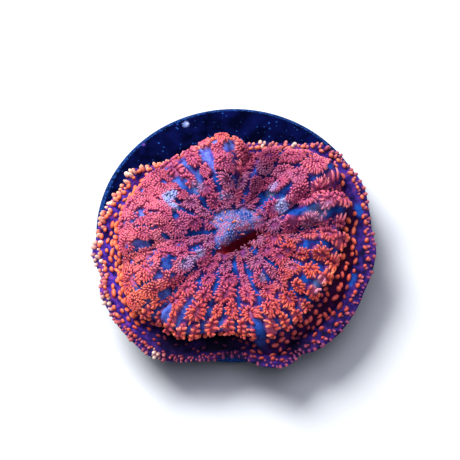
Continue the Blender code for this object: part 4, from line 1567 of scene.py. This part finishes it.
@dataclass
class PolypSkin:
    """The polyp's skin as one closed piece: raised tuft beds, sunken channels, brim, underside and foot."""

    form: PolypForm
    tufts: list[Tuft]
    finish: SkinFinish
    angles: int = 480
    top_rings: int = 108
    under_rings: int = 20
    bed_height: float = 0.36
    channel_depth: float = 0.12
    lip_folds: int = 9

    def build(self) -> None:
        """Builds the skin from a grid, wrapped round the mouth and down to the foot."""
        rings = self.top_rings + self.under_rings
        begin_shape()
        bpy.ops.mesh.primitive_grid_add(x_subdivisions=self.angles, y_subdivisions=rings, size=1)
        mesh = bpy.context.object.data
        flat = np.empty(3 * len(mesh.vertices))
        mesh.vertices.foreach_get("co", flat)
        across, along, _ = flat.reshape(-1, 3).T
        places, traits = self.wrap((across + 0.5) * TAU, (along + 0.5) * rings)
        mesh.vertices.foreach_set("co", (places * MM).ravel())
        for name, values in traits.items():
            add_attribute(mesh, name, values)
        start_edit()
        bpy.ops.mesh.remove_doubles(threshold=1e-6)
        piece = end_edit()
        bpy.ops.object.shade_smooth()
        dress(piece, "polyp_skin", self.finish.material(), POLYP_NODE)

    def wrap(self, angle: Array, ring: Array) -> tuple[Array, dict[str, Array]]:
        """Finds the place and the zones of each vertex.

        Args:
            angle: Angles in radians.
            ring: Ring numbers, from 0 at the mouth, past the margin, to the foot.

        Returns:
            Places in millimetres, and the share of each zone.
        """
        arc = np.minimum(ring / self.top_rings, 1) * self.form.margin_arc
        share = np.maximum(ring - self.top_rings, 0) / self.under_rings
        top = ring <= self.top_rings + 1e-6
        bed, row = self.beds(arc, angle)
        upper = self.form.skin(arc, angle)
        normal = self.form.normal(arc, angle)
        x, y = upper[:, 0] - self.form.mouth[0], upper[:, 1] - self.form.mouth[1]
        gape = np.maximum(self.form.mouth_gape.bell(x, y), self.form.mouth_crescent.bell(x, y))
        lumps = np.max([lump.bell(x, y) for lump in self.form.mouth_lumps], 0)
        mass = np.maximum(lumps, gape)
        crown = smooth_step(16.2, 14.6, arc) * smooth_step(0.60, 0.35, mass)
        lips = 0.10 * np.cos(self.lip_folds * angle) * smooth_step(0.3, 0.6, gape)
        relief = crown * (self.bed_height * bed - self.channel_depth) + lips
        relief = relief * smooth_step(self.form.margin_arc, self.form.margin_arc - 1, arc)
        places = np.where(top[:, None], upper + relief[:, None] * normal, self.form.underside(share, angle))
        bare = patch_weight(self.form, PatchKind.BARE, arc, angle)
        fold = self.form.fold(arc, angle)
        open_crown = (1 - bare) * smooth_step(0.60, 0.35, mass)
        traits = {
            "bed": bed * open_crown,
            # Painted light on the tuft beds, less where the valleys' painted shade falls
            "bright": crown_painted_light(arc, angle) * (1 - painted_shade_share(fold, arc, angle)),
            "row": row * open_crown,
            "brim": smooth_step(13.8, 15.6, arc + 1.8 * near_angle(angle, *UPPER_RIGHT_DEG)) * (1 - bare),
            "lit": brim_painted_light_share(angle),
            "wall_painted_shade": wall_painted_shade_share(arc, angle),
            "painted_shadow": painted_shadow_share(arc, angle),
            "lilac": strongest(LILAC_SKIN, arc, angle),
            "pale": 0.8 * patch_weight(self.form, PatchKind.PALE, arc, angle),
            "mouth": smooth_step(0.30, 0.55, lumps),
            "gape": smooth_step(0.18, 0.42, gape) * smooth_step(0.95, 0.70, lumps),
            "under": smooth_step(0.08, 0.3, share),
        }
        return places, {name: np.where(top | (name in ("brim", "under")), values, 0)
                        for name, values in traits.items()}

    def beds(self, arc: Array, angle: Array) -> tuple[Array, Array]:
        """Works out where the tufts stand.

        Args:
            arc: Arc lengths from the mouth.
            angle: Angles in radians.

        Returns:
            Share of tuft bed, 1 under a tuft, and share of row, 1 also in the gaps between a row's tufts.
        """
        bed, row = np.zeros(len(arc)), np.zeros(len(arc))
        for tuft in self.tufts:
            aside = np.abs(turn_between(angle, math.degrees(tuft.angle))) * tuft.reach
            along = np.abs(arc - tuft.arc) / (1.08 * tuft.half_length)
            across = aside / (tuft.half_width + 0.05)
            distance = (along**3 + across**3) ** (1 / 3)
            domed = 1 - 0.25 * np.minimum(distance, 1) ** 2
            bed = np.maximum(bed, smooth_step(1.12, 0.78, distance) * domed)
            row = np.maximum(row, smooth_step(1.12, 0.92, across) * smooth_step(1.5, 1.2, along))
        return bed, row


@dataclass
class FragDisc:
    """The round ceramic plug: a pressed disc with a softened top edge and a tapered underside."""

    finish: CeramicFinish
    diameter: float = 38.1
    thickness: float = 5.0
    band: float = 1.1
    chamfer: float = 0.7
    taper_deg: float = 32.0
    base_edge: float = 0.4
    top_band: float = 2.0
    softness: float = 0.22
    sides: int = 160

    def build(self) -> None:
        """Models the disc as by hand: a circle extruded and scaled section by section, then bevelled."""
        radius = self.diameter / 2
        band_foot = self.thickness - self.chamfer - self.band
        base_radius = radius - (band_foot - self.base_edge) * math.tan(math.radians(self.taper_deg))
        sections = ((0.0, base_radius - self.base_edge), (self.base_edge, base_radius), (band_foot, radius),
                    (self.thickness - self.chamfer, radius), (self.thickness, radius - self.chamfer))
        begin_shape()
        bpy.ops.mesh.primitive_circle_add(vertices=self.sides, radius=sections[0][1] * MM, fill_type="NGON")
        start_edit()
        extrude_sections(sections, MM)
        bpy.ops.mesh.inset(thickness=self.top_band * MM)
        piece = end_edit()
        bevel = piece.modifiers.new("softened edges", "BEVEL")
        bevel.width = self.softness * MM
        bevel.segments = 3
        bevel.limit_method = "ANGLE"
        bevel.angle_limit = math.radians(18)
        bpy.ops.object.modifier_apply(modifier=bevel.name)
        bpy.ops.object.shade_smooth_by_angle(angle=math.radians(25))
        dress(piece, "frag_disc_pressed", self.finish.material(), DISC_NODE)


@dataclass(frozen=True)
class Studio:
    """Pale floor, soft lights and the camera."""

    elevation_deg: float = 65.5
    distance: float = 300.0
    pixels_per_mm: float = 7.25
    frame_px: int = 460
    centre_px: tuple[float, float] = (234.0, 228.7)
    target: tuple[float, float, float] = (0.0, 0.0, 5.0)
    sensor_width: float = 36.0
    # Name, direction from the coral, distance, side, watts, colour
    lamps: tuple[tuple, ...] = (
        ("key", (-0.75, 0.80, 1.35), 420, 240, 3.2, "#FFFFFF"),
        ("fill", (0.1, 0.0, 1.6), 520, 400, 1.1, "#F0F2FF"))
    sky_colour: str = "#E4E8F4"
    sky_strength: float = 0.14
    floor_side: float = 3000.0

    def camera(self) -> None:
        """Adds the camera at the photograph's angle."""
        data = bpy.data.cameras.new("camera")
        camera = bpy.data.objects.new("camera", data)
        bpy.context.scene.collection.objects.link(camera)
        tilt = math.radians(self.elevation_deg)
        back = Vector((0, -math.cos(tilt), math.sin(tilt)))
        camera.location = (Vector(self.target) + back * self.distance) * MM
        camera.rotation_euler = back.to_track_quat("Z", "Y").to_euler()
        data.sensor_width = self.sensor_width
        data.lens = self.sensor_width * self.distance * self.pixels_per_mm / self.frame_px
        data.shift_x = (self.frame_px / 2 - self.centre_px[0]) / self.frame_px
        data.shift_y = (self.centre_px[1] - self.frame_px / 2) / self.frame_px
        data.clip_start = 0.01
        bpy.context.scene.camera = camera

    def light(self, name: str, way: tuple[float, float, float], distance: float, size: float, power: float,
              colour: str) -> None:
        """Adds a square area light that faces the coral.

        Args:
            name: Its name.
            way: Direction from the coral to the light.
            distance: Distance in millimetres.
            size: Side in millimetres.
            power: Power in watts.
            colour: Its colour.
        """
        data = bpy.data.lights.new(name, "AREA")
        data.size = size * MM
        data.energy = power
        data.color = linear(colour)[:3]
        light = bpy.data.objects.new(name, data)
        light.location = Vector(way).normalized() * distance * MM
        light.rotation_euler = Vector(way).to_track_quat("Z", "Y").to_euler()
        bpy.context.scene.collection.objects.link(light)

    def build(self, floor_finish: PaintFinish) -> None:
        """Adds the camera, the lights, the world and the floor."""
        self.camera()
        for lamp in self.lamps:
            self.light(*lamp)
        scene = bpy.context.scene
        world = bpy.data.worlds.new("studio")
        world.use_nodes = True
        sky = world.node_tree.nodes["Background"]
        sky.inputs["Color"].default_value = linear(self.sky_colour)
        sky.inputs["Strength"].default_value = self.sky_strength
        scene.world = world
        scene.view_settings.view_transform = "Standard"
        begin_shape()
        bpy.ops.mesh.primitive_plane_add(size=self.floor_side * MM)
        floor = bpy.context.object
        floor.name = "floor"
        floor.data.materials.append(floor_finish.material())
        floor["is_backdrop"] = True


def write_sizes(solid_box: tuple) -> None:
    """Works out the solids' box and the dressed part's box."""
    boxes = {"cad": solid_box, "visual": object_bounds()}
    {name: [[float(v) for v in corner] for corner in box] for name, box in boxes.items()}


# Matt paint: a plain pale ground with no reflections
PAINT = PaintFinish("matt_studio_paint", roughness=0.8)
# Black ceramic pressed from fine grains: a dull, gritty surface that takes the light's edge off
CERAMIC = CeramicFinish("pressed_black_ceramic", roughness=0.8, specular=0.01)
# Each living finish below gives off painted light, an emission in its own colour
# Skin over jelly: velvety rather than shiny, with colours that seem to lie under the surface
ORAL_DISC = SkinFinish("living_oral_disc", roughness=0.65, specular=0.04, scatter=0.15, painted_light=0.06)
# Thin, see-through tentacles: soft pink that lights up towards the tips
TENTACLE = TentacleFinish("living_tentacle", roughness=0.55, specular=0.15, scatter=0.35, painted_light=0.12)
# Plump knobs: orange beads with a rounder highlight
BRIM_KNOB = TentacleFinish("living_brim_knob", roughness=0.5, specular=0.2, scatter=0.3, painted_light=0.06,
                           warm=("#4A1238", "#DC5A3C", "#FF9E6C"), cool=("#3A1040", "#C04650", "#F08478"))
# Thin edge of the polyp: plum where painted shade falls, peach where it is bleached and where painted
# highlights fall
FRINGE = TentacleFinish("living_fringe", roughness=0.5, specular=0.2, scatter=0.3, painted_light=0.05,
                        warm=("#8A3048", "#EC7C60", "#FFB48C"), cool=("#34144C", "#8C3870", "#D07098"),
                        pale_colour="#F6D6C4")
# Fine bristles of the mouth: powdery blue and lilac
PAPILLA = TentacleFinish("living_papilla", roughness=0.55, specular=0.15, scatter=0.3, painted_light=0.08,
                         warm=("#6A1420", "#D05038", "#FFA468"), cool=("#2C3480", "#6068B8", "#A890C8"),
                         pale_colour="#C8D4F8")


def main() -> None:
    """Builds the pieces in order."""
    logging.basicConfig(level=logging.INFO, format="%(name)s: %(message)s")
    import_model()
    solid_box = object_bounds()
    form = PolypForm()
    tufts = RowPlan(form).tufts()
    log.info("tufts: %d", len(tufts))
    Studio().build(PAINT)
    FragDisc(CERAMIC).build()
    PolypSkin(form, tufts, ORAL_DISC).build()
    TentacleTufts(form, tufts, TENTACLE).build()
    BrimKnobs(form, BRIM_KNOB).build()
    RimFringe(form, FRINGE).build()
    MouthPapillae(form, PAPILLA).build()
    write_sizes(solid_box)


if __name__ == "__main__":
    main()
